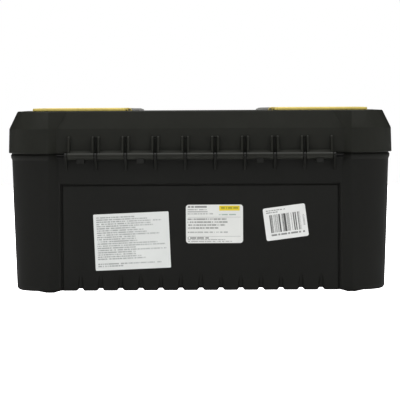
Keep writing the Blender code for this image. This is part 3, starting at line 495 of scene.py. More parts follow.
def tub_inside():
    """The hollow, which steps out above the panels so that its walls keep their thickness."""
    wall = 0.0028
    lower = TUB_SETBACK + PANEL_DEPTH - 0.0002
    low_side = SIDE_SETBACK + SIDE_PANEL_DEPTH
    slant = TUB_SLANT_X - 0.0025
    floor_x = tub_half(FLOOR_Z, TUB_LOW_X, TUB_TOP_X) - wall
    rows = []
    foot = [(floor_x - 0.012, FLOOR_Z, 0, 0), (floor_x, FLOOR_Z, 0.007, 6), (floor_x, 0.02, 0, 0)]
    for x, z in filleted(foot, closed=False):
        rows.append((z, plan(x, tub_depth(x, z), lower, slant, low_side)))
    step_z = PANEL_TOP_Z + 0.0005
    above = (step_z + 0.003, TUB_SETBACK, SIDE_SETBACK)
    for z, setback, side in ((0.022, lower, low_side), (step_z, lower, low_side), above):
        x = tub_half(z, TUB_LOW_X, TUB_TOP_X) - wall
        rows.append((z, plan(x, tub_depth(x, z), setback, slant, side)))
    rim_x = TONGUE_X - 0.0030
    rim = plan(rim_x, tub_depth(rim_x, TONGUE_TOP_Z), 0.0065, TONGUE_SLANT_X - 0.0010)
    rows.append((TONGUE_TOP_Z + 0.001, rim))
    return stack(rows)


def panel_cutters(extra, margin):
    """Wedges that sink a panel into each of the four faces, deeper by extra and smaller by margin."""
    far = 0.25
    low_z = -0.010
    top_z = PANEL_TOP_Z - margin
    shapes = []
    for sign in (-1, 1):
        for axis, half, low, top, inset in (
            ("X", PANEL_HALF_X, TUB_LOW_Y, TUB_TOP_Y, TUB_SETBACK + PANEL_DEPTH + extra),
            ("Y", PANEL_HALF_Y, TUB_LOW_X, TUB_TOP_X, SIDE_SETBACK + SIDE_PANEL_DEPTH + extra),
        ):
            high_face = tub_half(top_z, low, top) - inset
            low_face = tub_half(low_z, low, top) - inset
            outline = [(far, low_z), (far, top_z), (high_face, top_z), (low_face, low_z)]
            shapes.append(prism(axis, mirrored(outline, sign), margin - half, half - margin))
    return shapes


def flute_places():
    return [(i - (FLUTE_COUNT - 1) / 2) * FLUTE_PITCH for i in range(FLUTE_COUNT)]


def flute(x, sign):
    """A groove up the panel from its bottom edge, wide and deep below and fading out at its top."""
    points = []
    levels = ((-0.004, FLUTE_WIDTH, FLUTE_DEPTH + 0.0006), (FLUTE_TOP_Z, 0.6 * FLUTE_WIDTH, -0.0002))
    for z, width, depth in levels:
        face = tub_face_y(z) - PANEL_DEPTH
        for out, half in ((0.0020, 0.62 * width), (-depth, 0.30 * width)):
            points += [Vector((x + side * half, sign * (face + out), z)) for side in (-1, 1)]
    return hull(points)


def underside_channels():
    low = FOOT_HEIGHT - 0.0005
    outline = [(-0.0042, low), (0.0042, low), (0.0030, CHANNEL_TOP_Z - 0.0010), (0.0019, CHANNEL_TOP_Z)]
    outline += [(-0.0019, CHANNEL_TOP_Z), (-0.0030, CHANNEL_TOP_Z - 0.0010)]
    return [prism("Y", [(x + a, b) for a, b in outline], -0.12, 0.12) for x in flute_places()]


def foot_pads():
    """A flat-bottomed pad under each corner pillar, sloping back up into the floor around it."""
    upper = ((0.1445, 0.0765), (0.1500, 0.0800), (0.1570, 0.0850), (0.1660, 0.0840), (0.1740, 0.0800))
    upper += ((0.1740, 0.0560), (0.1445, 0.0560))
    lower = ((0.1545, 0.0835), (0.1625, 0.0835), (0.1625, 0.0585), (0.1545, 0.0585))
    shapes = []
    for along_x in (-1, 1):
        for along_y in (-1, 1):
            points = [Vector((along_x * x, along_y * y, FOOT_HEIGHT + 0.0008)) for x, y in upper]
            points += [Vector((along_x * x, along_y * y, 0.0)) for x, y in lower]
            shapes.append(hull(points))
    return shapes


def make_tub(finish):
    tub = raw("tub", [tub_outside()])
    cut(tub, [tub_inside()])
    # The deep wedges lose their middles, so all that they cut is a groove round each panel
    groove = cut(tub, panel_cutters(GROOVE_DEPTH, 0.0))
    low = -0.1
    top = PANEL_TOP_Z - GROOVE_WIDTH
    half = PANEL_HALF_X - GROOVE_WIDTH
    cut(groove, [box(-half, half, -FAR, FAR, low, top)])
    half = PANEL_HALF_Y - GROOVE_WIDTH
    cut(groove, [box(-FAR, FAR, -half, half, low, top)])
    cut(tub, panel_cutters(0.0, 0.5 * GROOVE_WIDTH))
    cut(tub, [flute(x, sign) for sign in (-1, 1) for x in flute_places()])
    cut(tub, underside_channels())
    join(tub, foot_pads())
    settle(tub, "body", finish, SOFT_EDGE, 3, ["body"])


def gap_places():
    """X of the fins: one in each gap between the barrels and one at each end."""
    return [(i - BARREL_COUNT / 2) * BARREL_PITCH for i in range(BARREL_COUNT + 1)]


def barrel_places():
    return [(i - (BARREL_COUNT - 1) / 2) * BARREL_PITCH for i in range(BARREL_COUNT)]


def make_tub_fittings(finish):
    outline = [(FITTING_ROOT_Y, FIN_LOW_Z), (0.0892, FIN_LOW_Z), (0.0940, FIN_LOW_Z + 0.0055)]
    outline += arc(HINGE.y, HINGE.z, BARREL_RADIUS, -50, 135, 14)
    outline += [(0.0925, RIM_TOP_Z - 0.0009), (FITTING_ROOT_Y, RIM_TOP_Z - 0.0009)]
    half = FIN_THICKNESS / 2
    fins = raw("hinge_fins", [slab("X", outline, x, half) for x in gap_places()])
    cut(fins, [rod("X", HINGE.y, HINGE.z, PIN_HOLE, -PIN_REACH, PIN_REACH, 24)])
    settle(fins, "body", finish)

    cradle = arc(HINGE.y, HINGE.z, BARREL_RADIUS + GAP, -38, -120, 10)
    outline = [(FITTING_ROOT_Y, cradle[-1][1]), (FITTING_ROOT_Y, NUB_LOW_Z)]
    outline += [(cradle[0][0], NUB_LOW_Z)] + cradle
    nubs = [slab("X", outline, unit * BARREL_PITCH, NUB_WIDTH / 2) for unit in NUB_UNITS]
    settle(raw("hinge_rests", nubs), "body", finish)

    keepers = []
    ledges = []
    for _, sign in sides():
        x0, x1 = span(sign, LATCH.x - 0.024, LATCH.x + 0.024)
        keepers.append(box(x0, x1, -0.0940, -FITTING_ROOT_Y, KEEPER_LOW_Z, KEEPER_LOW_Z + 0.0040))
        top = TRAY_FLANGE_Z - GAP
        outline = [(LEDGE_X, top - 0.0062), (LEDGE_X, top), (0.1965, top), (0.1965, top - 0.0152)]
        ledges.append(prism("Y", mirrored(outline, sign), -LEDGE_HALF_Y, LEDGE_HALF_Y))
    settle(raw("latch_keepers", keepers), "body", finish)
    settle(raw("tray_ledges", ledges), "body", finish)
    make_eye("tub_padlock_eye", "body", RIM_TOP_Z - 0.0050, RIM_TOP_Z - 0.0002, finish)


def make_eye(name, body, low, high, finish):
    """A round-cornered plate at the middle of the front, with a hole for a padlock."""
    x = EYE_HALF_WIDTH
    plate = rounded(-x, x, EYE_FRONT_Y, EYE_ROOT_Y, [0.0, 0.0, 0.004, 0.004])
    eye = raw(name, [prism("Z", plate, low, high)])
    cut(eye, [rod("Z", 0.0, EYE_HOLE_Y, EYE_HOLE_RADIUS, low - 0.001, high + 0.001)])
    settle(eye, body, finish)


# ---- Lid ----


def lid_ring(half_x, z, inner=0.0):
    """The lid's outline at height z; the slanted ends of its long faces spread towards the top."""
    up = min(max((z - LID_SHOULDER_Z) / (LID_TOP_Z - LID_SHOULDER_Z), 0.0), 1.0)
    setback = LID_SETBACK + up * (LID_TOP_SETBACK - LID_SETBACK)
    slant = LID_SLANT_X - inner + up * (LID_TOP_SLANT_X - LID_SLANT_X + inner)
    return plan(half_x, half_x - LID_X + LID_Y, setback, slant, SIDE_SETBACK * (1 - 0.5 * up))


def lid_outside():
    shoulder = LID_X - LID_TAPER
    top = shoulder - LID_CHAMFER
    path = [
        (LID_X - 0.0012, LID_LOW_Z, 0.0, 0),
        (LID_X, LID_LOW_Z, 0.0006, 3),
        (shoulder, LID_SHOULDER_Z, 0.0022, 4),
        (top, LID_TOP_Z, 0.0018, 5),
        (top - 0.0040, LID_TOP_Z, 0.0, 0),
    ]
    return stack([(z, lid_ring(x, z)) for x, z in filleted(path, closed=False)])


def lid_inside():
    inner = LID_X - SHELL
    levels = (
        (inner, LID_LOW_Z - 0.001),
        (inner - LID_TAPER, LID_SHOULDER_Z - 0.0011),
        (LID_X - LID_TAPER - LID_CHAMFER - 0.0016, LID_TOP_Z - SHELL),
    )
    return stack([(z, lid_ring(x, z, 0.0008)) for x, z in levels])


def lid_tubs():
    """What the lid's hollow leaves standing: the wells, the handle's recess and the pivots' blocks."""
    high = LID_TOP_Z + 0.001
    shapes = []
    for _, sign in sides():
        x0, x1 = span(sign, WELL_INNER_X - SHELL, WELL_OUTER_X + SHELL)
        outline = rounded(x0, x1, -WELL_Y - SHELL, WELL_Y + SHELL, [0.006] * 4)
        shapes.append(prism("Z", outline, WELL_FLOOR_Z - SHELL, high))
        x0, x1 = span(sign, RECESS_X + 0.001, WELL_INNER_X - 0.001)
        shapes.append(box(x0, x1, -HANDLE_BLOCK_Y, HANDLE_BLOCK_Y, LID_TOP_Z - HANDLE_BLOCK_DEPTH, high))
        x0, x1 = span(sign, WELL_OUTER_X + 0.001, COVER.x + 0.0055)
        shapes.append(box(x0, x1, -COVER_BLOCK_Y, COVER_BLOCK_Y, LID_TOP_Z - COVER_BLOCK_DEPTH, high))
    x = RECESS_X + SHELL
    outline = rounded(-x, x, RECESS_FRONT_Y - SHELL, RECESS_REAR_Y + SHELL, [0.006] * 4)
    shapes.append(prism("Z", outline, RECESS_Z - SHELL, high))
    return shapes


def well_cutters(sign):
    """Compartments side by side along Y, and a shallow mouth over them that clears the cover's lip."""
    x0, x1 = span(sign, WELL_INNER_X, WELL_OUTER_X)
    pitch = (2 * WELL_Y + WELL_DIVIDER) / WELL_CELLS
    cells = []
    for i in range(WELL_CELLS):
        y0 = -WELL_Y + i * pitch
        outline = rounded(x0, x1, y0, y0 + pitch - WELL_DIVIDER, [0.004] * 4)
        cells.append(prism("Z", outline, WELL_FLOOR_Z, WELL_DIVIDER_TOP_Z + 0.0001))
    mouth = prism("Z", rounded(x0, x1, -WELL_Y, WELL_Y, [0.004] * 4), WELL_DIVIDER_TOP_Z, OVER)
    return cells, mouth


def catch_pockets(sign):
    """Room for a flip catch: its ears and barrel, its leg, and the undercut that its nose goes in."""
    ears = box(*span(sign, 0.0728, 0.0792), -0.0222, 0.0222, FLIP.z - 0.0030, OVER)
    leg = box(*span(sign, 0.0600, 0.0670), -0.0155, 0.0155, LID_TOP_Z - 0.0090, OVER)
    hook = span(sign, 0.0640, 0.0688)
    undercut = box(*hook, -0.0150, 0.0150, LID_TOP_Z - 0.0086, LID_TOP_Z - 0.0045)
    return [ears, leg], undercut


def knuckle_pockets(sign):
    """Room in the lid's top for each cover knuckle and the arm that carries it."""
    half = KNUCKLE_HALF + 0.0004
    low = COVER.z - COVER_KNUCKLE - 2 * GAP
    x0, x1 = span(sign, COVER_OUTER_X - 0.0008, COVER.x + COVER_KNUCKLE + 2 * GAP)
    return [box(x0, x1, y - half, y + half, low, OVER) for y in (-KNUCKLE_Y, KNUCKLE_Y)]


def make_lid(finish):
    lid = raw("lid_shell", [lid_outside()])
    hollow = cut(lid, [lid_inside()])
    for shape in lid_tubs():
        cut(hollow, [shape])
    x = RECESS_X
    recess = rounded(-x, x, RECESS_FRONT_Y, RECESS_REAR_Y, [0.004] * 4)
    cut(lid, [prism("Z", recess, RECESS_Z, OVER)])
    for _, sign in sides():
        cells, mouth = well_cutters(sign)
        cut(lid, cells)
        cut(lid, [mouth])
        pockets, undercut = catch_pockets(sign)
        cut(lid, pockets)
        cut(lid, [undercut])
        cut(lid, knuckle_pockets(sign))
        ends = span(sign, RECESS_X - 0.001, STUB_X + 0.0006)
        cut(lid, [rod("X", HANDLE.y, HANDLE.z, STUB_RADIUS + GAP, *ends)])
    half = 0.5 * (BARREL_PITCH - BARREL_LENGTH)
    slot_y = LID_Y - LID_SETBACK - RIB_SLOT_DEPTH
    low = LID_LOW_Z - 0.01
    high = RIB_TOP_Z - 0.0015
    cut(lid, [box(x - half, x + half, slot_y, 0.12, low, high) for x in gap_places()[1:-1]])
    settle(lid, "lid", finish, SOFT_EDGE, 3, ["lid"])


def make_lid_hinge(finish):
    """Barrels on plates from the foot of the lid's wall, each with an upright rib at both its ends."""
    half = BARREL_LENGTH / 2
    rods = [rod("X", HINGE.y, HINGE.z, BARREL_RADIUS, x - half, x + half) for x in barrel_places()]
    barrels = raw("hinge_barrels", rods)
    cut(barrels, [rod("X", HINGE.y, HINGE.z, PIN_HOLE, -PIN_REACH, PIN_REACH, 24)])
    settle(barrels, "lid", finish)

    web = [(0.0896, LID_LOW_Z + 0.0004), (0.0975, HINGE.z + 0.0023)]
    web += [(0.0987, HINGE.z + 0.0032), (0.0903, LID_LOW_Z + 0.0032)]
    half = BARREL_LENGTH / 2 - 0.0006
    webs = [slab("X", web, x, half) for x in barrel_places()]
    settle(raw("hinge_webs", webs), "lid", finish)

    corners = [
        (0.0900, LID_LOW_Z + 0.0006, 0, 0),
        (0.0968, HINGE.z + 0.0023, 0, 0),
        (HINGE.y, HINGE.z + 0.0028, 0, 0),
        (0.0982, HINGE.z + 0.0070, 0.004, 4),
        (0.0940, RIB_TOP_Z, 0.0022, 5),
        (0.0900, RIB_TOP_Z, 0, 0),
    ]
    rib = filleted(corners)
    ribs = []
    for x in barrel_places():
        ribs += pair("X", rib, x, BARREL_LENGTH / 2, -RIB_THICKNESS)
    settle(raw("hinge_ribs", ribs), "lid", finish, SOFT_EDGE, 3)


def make_lid_fittings(finish):
    outline = [(EAR_ROOT_Y, LATCH.z - 0.0070), (-0.0955, LATCH.z - 0.0048)]
    outline += arc(LATCH.y, LATCH.z, 0.0045, 245, 100, 12)
    outline += [(EAR_ROOT_Y, LATCH.z + 0.0055)]
    ears = []
    for _, sign in sides():
        ears += pair("X", outline, sign * LATCH.x, LATCH_HALF_WIDTH + GAP, EAR_THICKNESS)
    settle(raw("latch_ears", ears), "lid", finish, SOFT_EDGE, 3)

    make_eye("lid_padlock_eye", "lid", LID_LOW_Z + 0.0002, LID_LOW_Z + 0.0050, finish)


# ---- Latches ----


def make_latches(finish):
    """A curved plate with a sunk field and grip ridges, a knuckle at its top and a hook behind."""
    for name, sign in sides():
        centre = sign * LATCH.x
        outline = arc(LATCH.y, LATCH.z, LATCH_KNUCKLE, -40, 150, 16)
        outline += arc(LATCH_FRONT_Y + 0.0120, LATCH.z - 0.0090, 0.0120, 128, 180, 8)
        corners = [
            (LATCH_FRONT_Y, LATCH.z - 0.0100, 0, 0),
            (LATCH_FRONT_Y, LATCH_LOW_Z + 0.0126, 0, 0),
            (LATCH_FRONT_Y + 0.0010, LATCH_LOW_Z, 0.0010, 3),
            (LATCH_BACK_Y + 0.0006, LATCH_LOW_Z, 0.0008, 3),
            (LATCH_BACK_Y, LATCH_LOW_Z + 0.0045, 0, 0),
            (LATCH_BACK_Y, LATCH.z - 0.0060, 0, 0),
        ]
        outline += filleted(corners, closed=False)
        half = LATCH_HALF_WIDTH
        latch = raw(f"latch_{name}_plate", [slab("X", outline, centre, half)])
        top = KEEPER_LOW_Z - 0.0006
        root = LATCH_BACK_Y - 0.001
        hook = [(root, top - 0.0062), (-0.0915, top - 0.0034), (-0.0900, top), (root, top)]
        join(latch, [slab("X", hook, centre, HOOK_HALF_WIDTH)])
        x0, x1 = centre - half + 0.006, centre + half - 0.006
        field = rounded(x0, x1, LATCH.z - 0.0310, LATCH.z - 0.0085, [0.003] * 4)
        cut(latch, [prism("Y", field, LATCH_FRONT_Y - 0.001, LATCH_FRONT_Y + 0.0011)])
        x0, x1 = centre - half + 0.008, centre + half - 0.008
        grooves = []
        for i in range(RIDGE_COUNT):
            z = LATCH_LOW_Z + 0.0028 + RIDGE_PITCH * i
            grooves.append(box(x0, x1, -0.106, LATCH_FRONT_Y + 0.0019, z, z + 0.0011))
        cut(latch, grooves)
        cut(latch, [rod("X", LATCH.y, LATCH.z, PIN_HOLE, centre - 0.04, centre + 0.04, 24)])
        settle(latch, f"latch_{name}", finish, FINE_EDGE, 2, [f"latch_{name}"])


# ---- Handle ----


def make_handle(finish, rubber):
    half = ARM_X - 0.001
    handle = raw("handle_frame", [rod("X", BAR_Y, HANDLE.z, BAR_RADIUS, -half, half, 40)])
    outline = arc(0.0, HANDLE.z, ARM_RADIUS, -90, 90, 14)
    outline += arc(BAR_Y, HANDLE.z, ARM_RADIUS + 0.0005, 90, 270, 14)
    inner_x = ARM_X - ARM_THICKNESS
    arms = []
    stubs = []
    dishes = []
    for _, sign in sides():
        arms.append(prism("X", outline, *span(sign, inner_x, ARM_X)))
        stubs.append(rod("X", 0.0, HANDLE.z, STUB_RADIUS, *span(sign, ARM_X - 0.002, STUB_X)))
        low, high = span(sign, inner_x - 0.001, inner_x + 0.0012)
        dish = rounded(BAR_Y + 0.0130, -0.0065, HANDLE.z - 0.0030, HANDLE.z + 0.0030, [0.0029] * 4)
        dishes.append(prism("X", dish, low, high))
    join(handle, arms)
    join(handle, stubs)
    cut(handle, dishes)
    settle(handle, "handle", finish, SOFT_EDGE, 3, ["handle"])

    grip = raw("grip_sleeve", [grip_shape()])
    length = GRIP_HALF_LENGTH + 0.001
    cut(grip, [rod("X", BAR_Y, HANDLE.z, BAR_RADIUS + GAP, -length, length, 40)])
    settle(grip, "handle", rubber, 0.0, 1, ["handle_grip"])


def grip_shape():
    """A barrel-shaped sleeve, thicker in its middle, with rounded rims and rings of fine grooves."""
    rings = []
    count = 160
    groove_pitch = 0.0050
    for step in range(count + 1):
        x = GRIP_HALF_LENGTH * (2 * step / count - 1)
        along = x / GRIP_HALF_LENGTH
        radius = GRIP_RADIUS - 0.0012 * along * along
        from_end = GRIP_HALF_LENGTH - abs(x)
        if from_end < GRIP_RIM:
            radius -= GRIP_RIM - math.sqrt(GRIP_RIM * GRIP_RIM - (GRIP_RIM - from_end) ** 2)
        if from_end > 0.006:
            phase = abs((x / groove_pitch) % 1.0 - 0.5) * groove_pitch
            radius -= 0.0005 * max(0.0, 1 - (phase / 0.0009) ** 2)
        ring = arc(BAR_Y, HANDLE.z, radius, 0, 360 - 360 / GRIP_SIDES, GRIP_SIDES - 1)
        rings.append([Vector((x, a, b)) for a, b in ring])
    return loft(rings)


# ---- Organiser covers and their catches ----


def cover_plate(sign):
    """The cover: a plate with a softly rounded top edge."""
    low = LID_TOP_Z + GAP
    rows = []
    edge = [(0.0, low, 0, 0), (0.0, COVER_TOP_Z, 0.0009, 4), (0.003, COVER_TOP_Z, 0, 0)]
    for inset, z in filleted(edge, closed=False):
        x0, x1 = COVER_INNER_X + inset, COVER_OUTER_X - inset
        y = COVER_Y - inset
        radii = [radius - 0.7 * inset for radius in (0.014, 0.006, 0.006, 0.014)]
        rows.append((z, mirrored(rounded(x0, x1, -y, y, radii, 8), sign)))
    return stack(rows)


def cover_lip(sign):
    """The frame under the plate that drops into the well's mouth: its outside and its inside."""
    x0, x1 = span(sign, WELL_INNER_X + 0.0005, WELL_OUTER_X - 0.0005)
    y = WELL_Y - 0.0005
    wall = 0.0015
    outside = rounded(x0, x1, -y, y, [0.0035] * 4)
    outer = prism("Z", outside, LID_TOP_Z - 0.0018, LID_TOP_Z + 0.0010)
    inside = rounded(x0 + wall, x1 - wall, -y + wall, y - wall, [0.0020] * 4)
    return outer, prism("Z", inside, LID_TOP_Z - 0.0030, LID_TOP_Z + GAP)


def cover_knuckles(sign):
    """Knuckles sunk below the lid's top, each on an arm from the plate's outer edge."""
    edge = COVER_OUTER_X
    root = LID_TOP_Z + GAP + 0.0008
    outline = arc(COVER.x, COVER.z, COVER_KNUCKLE, -135, 150, 20)
    outline += [(edge, root), (edge - 0.0030, root), (edge - 0.0030, root - 0.0007)]
    outline += [(edge - 0.0004, root - 0.0007), (edge - 0.0004, COVER.z + 0.0005)]
    outline = mirrored(outline, sign)
    return [slab("Y", outline, y, KNUCKLE_HALF) for y in (-KNUCKLE_Y, KNUCKLE_Y)]


def cover_ears(sign):
    """Two ears that hold the flip catch's stubs."""
    under = LID_TOP_Z + GAP + 0.0001
    outline = arc(FLIP.x, FLIP.z, FLIP_BARREL, 90, 330, 16)
    outline += [(FLIP.x + 0.0026, under), (0.0800, under), (0.0800, FLIP.z + FLIP_BARREL)]
    return pair("Y", mirrored(outline, sign), 0.0, FLIP_HALF_WIDTH + GAP, FLIP_EAR)


def make_covers(finish, catch_finish):
    for name, sign in sides():
        cover = raw(f"cover_{name}", [cover_plate(sign)])
        outer, inner = cover_lip(sign)
        join(cover, [outer])
        cut(cover, [inner])
        field = mirrored(rounded(0.0860, 0.1700, -0.0685, 0.0685, [0.008, 0.004, 0.004, 0.008]), sign)
        cut(cover, [prism("Z", field, COVER_TOP_Z - 0.0006, COVER_TOP_Z + 0.001)])
        join(cover, cover_knuckles(sign))
        join(cover, cover_ears(sign))
        holes = [rod("Y", sign * COVER.x, COVER.z, 0.0015, -0.065, 0.065, 20)]
        holes.append(rod("Y", sign * FLIP.x, FLIP.z, 0.0014, -0.0225, 0.0225, 20))
        cut(cover, holes)
        node = f"organiser_lid_{name}"
        settle(cover, node, finish, FINE_EDGE, 2, [node])
        make_catch(name, sign, catch_finish)


def make_catch(name, sign, finish):
    """A catch on its barrel: a plate that reaches inwards, and a leg whose nose hooks under the lid."""
    corners = [
        (0.0000, -0.0002, 0, 0),
        (-0.0105, -0.0002, 0, 0),
        (-0.0105, -0.0070, 0, 0),
        (-0.0082, -0.0070, 0, 0),
        (-0.0084, -0.0080, 0, 0),
        (-0.0100, -0.0086, 0, 0),
        (-0.0130, -0.0086, 0.0005, 3),
        (-0.0130, -0.0002, 0, 0),
        (-0.0150, -0.0002, 0, 0),
        (-0.0152, 0.0006, 0.0003, 2),
        (-0.0120, 0.0021, 0.0040, 4),
        (0.0000, 0.0023, 0, 0),
    ]
    outline = mirrored([(FLIP.x + a, FLIP.z + b) for a, b in filleted(corners)], sign)
    half = FLIP_HALF_WIDTH
    catch = raw(f"catch_{name}", [rod("Y", sign * FLIP.x, FLIP.z, FLIP_BARREL, -half, half)])
    join(catch, [prism("Y", outline, -0.0140, 0.0140)])
    reach = half + 0.0035
    join(catch, [rod("Y", sign * FLIP.x, FLIP.z, 0.0011, -reach, reach, 20)])
    node = f"organiser_catch_{name}"
    settle(catch, node, finish, 0.0003, 2, [node])


# ---- Tray ----


def tray_outside():
    path = (
        (TRAY_LOW_Z, TRAY_LOW_X, TRAY_LOW_Y),
        (TRAY_FLANGE_Z, TRAY_HIGH_X, TRAY_HIGH_Y),
        (TRAY_FLANGE_Z, TRAY_FLANGE_X, TRAY_FLANGE_Y),
        (TRAY_TOP_Z, TRAY_FLANGE_X, TRAY_FLANGE_Y),
    )
    rows = []
    for z, x, y in path:
        radius = x - TRAY_RIDGE_X
        rows.append((z, rounded(-x, x, -y, y, [radius] * 4, 16)))
    return stack(rows)


def tray_cell(x0, x1, y0, y1):
    """One compartment, rounded widely where it lies in one of the tray's own corners."""
    corners = ((x1, y1), (x0, y1), (x0, y0), (x1, y0))
    at_end = TRAY_LOW_X - 0.010
    radii = [0.030 if abs(x) > at_end and abs(y) > TRAY_SPINE else 0.004 for x, y in corners]
    return prism("Z", rounded(x0, x1, y0, y1, radii, 10), TRAY_FLOOR_Z, TRAY_TOP_Z + 0.001)


def tray_cells():
    """A long compartment along the front and a row of smaller ones along the rear."""
    half_x = TRAY_LOW_X - TRAY_WALL
    outer_y = TRAY_LOW_Y - TRAY_WALL
    cells = [tray_cell(-half_x, half_x, -outer_y, -TRAY_SPINE)]
    pitch = (2 * half_x + TRAY_WALL) / TRAY_CELLS
    for i in range(TRAY_CELLS):
        x0 = -half_x + i * pitch
        cells.append(tray_cell(x0, x0 + pitch - TRAY_WALL, TRAY_SPINE, outer_y))
    return cells


def divider_guides():
    """Pairs of small ribs on the tray's front wall and spine, between which the loose dividers slide."""
    z0, z1 = TRAY_LOW_Z + 0.001, TRAY_TOP_Z - 0.006
    shapes = []
    for x in (-DIVIDER_X, DIVIDER_X):
        for side in (-1, 1):
            near = x + side * (DIVIDER_THICKNESS / 2 + GAP)
            x0, x1 = sorted((near, near + side * 0.0016))
            shapes.append(box(x0, x1, -TRAY_LOW_Y + 0.0010, -TRAY_LOW_Y + 0.0045, z0, z1))
            shapes.append(box(x0, x1, -TRAY_SPINE - 0.0025, -TRAY_SPINE + 0.0010, z0, z1))
    return shapes


def make_tray(finish):
    tray = raw("tray_moulding", [tray_outside()])
    cut(tray, tray_cells())
    hold = rounded(-0.045, 0.045, TRAY_TOP_Z - 0.033, TRAY_TOP_Z - 0.011, [0.009] * 4, 8)
    web, face = TRAY_SPINE - 0.006, TRAY_SPINE + 0.0001
    cut(tray, [prism("Y", hold, web, face), prism("Y", hold, -face, -web)])
    settle(tray, "tray", finish, SOFT_EDGE, 3, ["tray"])
    settle(raw("divider_guides", divider_guides()), "tray", finish)
    for name, _ in sides():
        dress(frame["nodes"][f"tray_divider_{name}"], finish, FINE_EDGE)


# ---- CAD nodes that stay ----


def dress(obj, finish, width):
    """Gives a CAD node its finish and rounds its edges with modifiers, which leave its mesh as it is."""
    weld = obj.modifiers.new("weld", "WELD")
    weld.merge_threshold = 0.00001
    bevel = obj.modifiers.new("edges", "BEVEL")
    bevel.width = width
    bevel.segments = 2
    bevel.limit_method = "ANGLE"
    bevel.angle_limit = SHARP_ANGLE
    smooth(obj, finish)


def make_pins(finish):
    names = ["hinge_pin"]
    for kind in ("latch_pin", "organiser_pin"):
        names += [f"{kind}_{name}" for name, _ in sides()]
    for name in names:
        dress(frame["nodes"][name], finish, 0.0003)


# ---- Stickers ----

# Name, middle in X and Z, width, height, turn in degrees and corner radius
STICKERS = (
    ("label_document", 0.0721, 0.0538, 0.0793, 0.0594, 2.3, 0.0010),
    ("label_rating", -0.0146, 0.0715, 0.0600, 0.0406, 0.0, 0.0030),
    ("label_barcode", -0.0895, 0.0729, 0.0447, 0.0345, 7.4, 0.0020),
)
STICKER_THICKNESS = 0.0002


def make_stickers(finishes):
    """Thin rounded rectangles on the rear panel; each one's print is laid out from its own middle."""
    lean = -math.atan2(TUB_TOP_Y - TUB_LOW_Y, TUB_TOP_Z - TUB_LOW_Z)
    for name, x, z, width, height, turn, radius in STICKERS:
        outline = rounded(-width / 2, width / 2, -height / 2, height / 2, [radius] * 4, 5)
        sticker = raw(name + "_sheet", [prism("Y", outline, 0.0, STICKER_THICKNESS)])
        place = Matrix.Translation((x, tub_face_y(z) - PANEL_DEPTH + 0.00005, z))
        tilt = Matrix.Rotation(lean, 4, "X") @ Matrix.Rotation(math.radians(turn), 4, "Y")
        sticker.matrix_world = place @ tilt
        settle(sticker, "body", finishes[name], 0.00006, 2, [name])


# ---- Finishes ----


def new_finish(name, roughness, metallic=0.0):
    material = bpy.data.materials.new(name)
    material.use_nodes = True
    shader = material.node_tree.nodes["Principled BSDF"]
    shader.inputs["Roughness"].default_value = roughness
    shader.inputs["Metallic"].default_value = metallic
    return material, material.node_tree, shader


def is_socket(value):
    return isinstance(value, bpy.types.NodeSocket)


def tree_of(values):
    """The node tree of the first socket among the values."""
    return next(value.id_data for value in values if is_socket(value))


def connect(socket, value):
    if is_socket(value):
        socket.id_data.links.new(value, socket)
    else:
        socket.default_value = value


def add(tree, kind, **inputs):
    """A shader node. Its inputs are values or other nodes' sockets."""
    node = tree.nodes.new("ShaderNode" + kind)
    for name, value in inputs.items():
        connect(node.inputs[name], value)
    return node


def sums(operation, *values):
    """A Math node's result. Values after the first two are taken in turn."""
    node = add(tree_of(values), "Math")
    node.operation = operation
    for socket, value in zip(node.inputs, values[:2]):
        connect(socket, value)
    result = node.outputs[0]
    return sums(operation, result, *values[2:]) if values[2:] else result


def times(*values):
    return sums("MULTIPLY", *values)


def mapped(value, low=0.3, high=0.7, out_low=0.0, out_high=1.0):
    """A value taken from one range to another and held inside it."""
    node = add(value.id_data, "MapRange", Value=value)
    names = ("From Min", "From Max", "To Min", "To Max")
    for name, number in zip(names, (low, high, out_low, out_high)):
        node.inputs[name].default_value = number
    return node.outputs[0]


def mixed(factor, first, second):
    """A blend of two colours."""
    node = add(factor.id_data, "Mix")
    node.data_type = "RGBA"
    colours = [socket for socket in node.inputs if socket.type == "RGBA"]
    for socket, value in zip([node.inputs[0]] + colours, (factor, first, second)):
        connect(socket, value)
    return [socket for socket in node.outputs if socket.type == "RGBA"][0]


def noise(coords, scale, detail=2.0, roughness=0.5):
    node = add(coords.id_data, "TexNoise", Vector=coords, Scale=scale, Detail=detail, Roughness=roughness)
    return node.outputs[0]


def shade(colour, factor):
    return (*(min(1.0, channel * factor) for channel in colour), 1.0)


def cover_with(shader, base, roughness, height, strength, distance):
    """Joins a colour, a roughness and a height, as bump, to the shader."""
    bump = add(height.id_data, "Bump", Height=height, Strength=strength, Distance=distance)
    connect(shader.inputs["Base Color"], base)
    connect(shader.inputs["Roughness"], roughness)
    connect(shader.inputs["Normal"], bump.outputs[0])


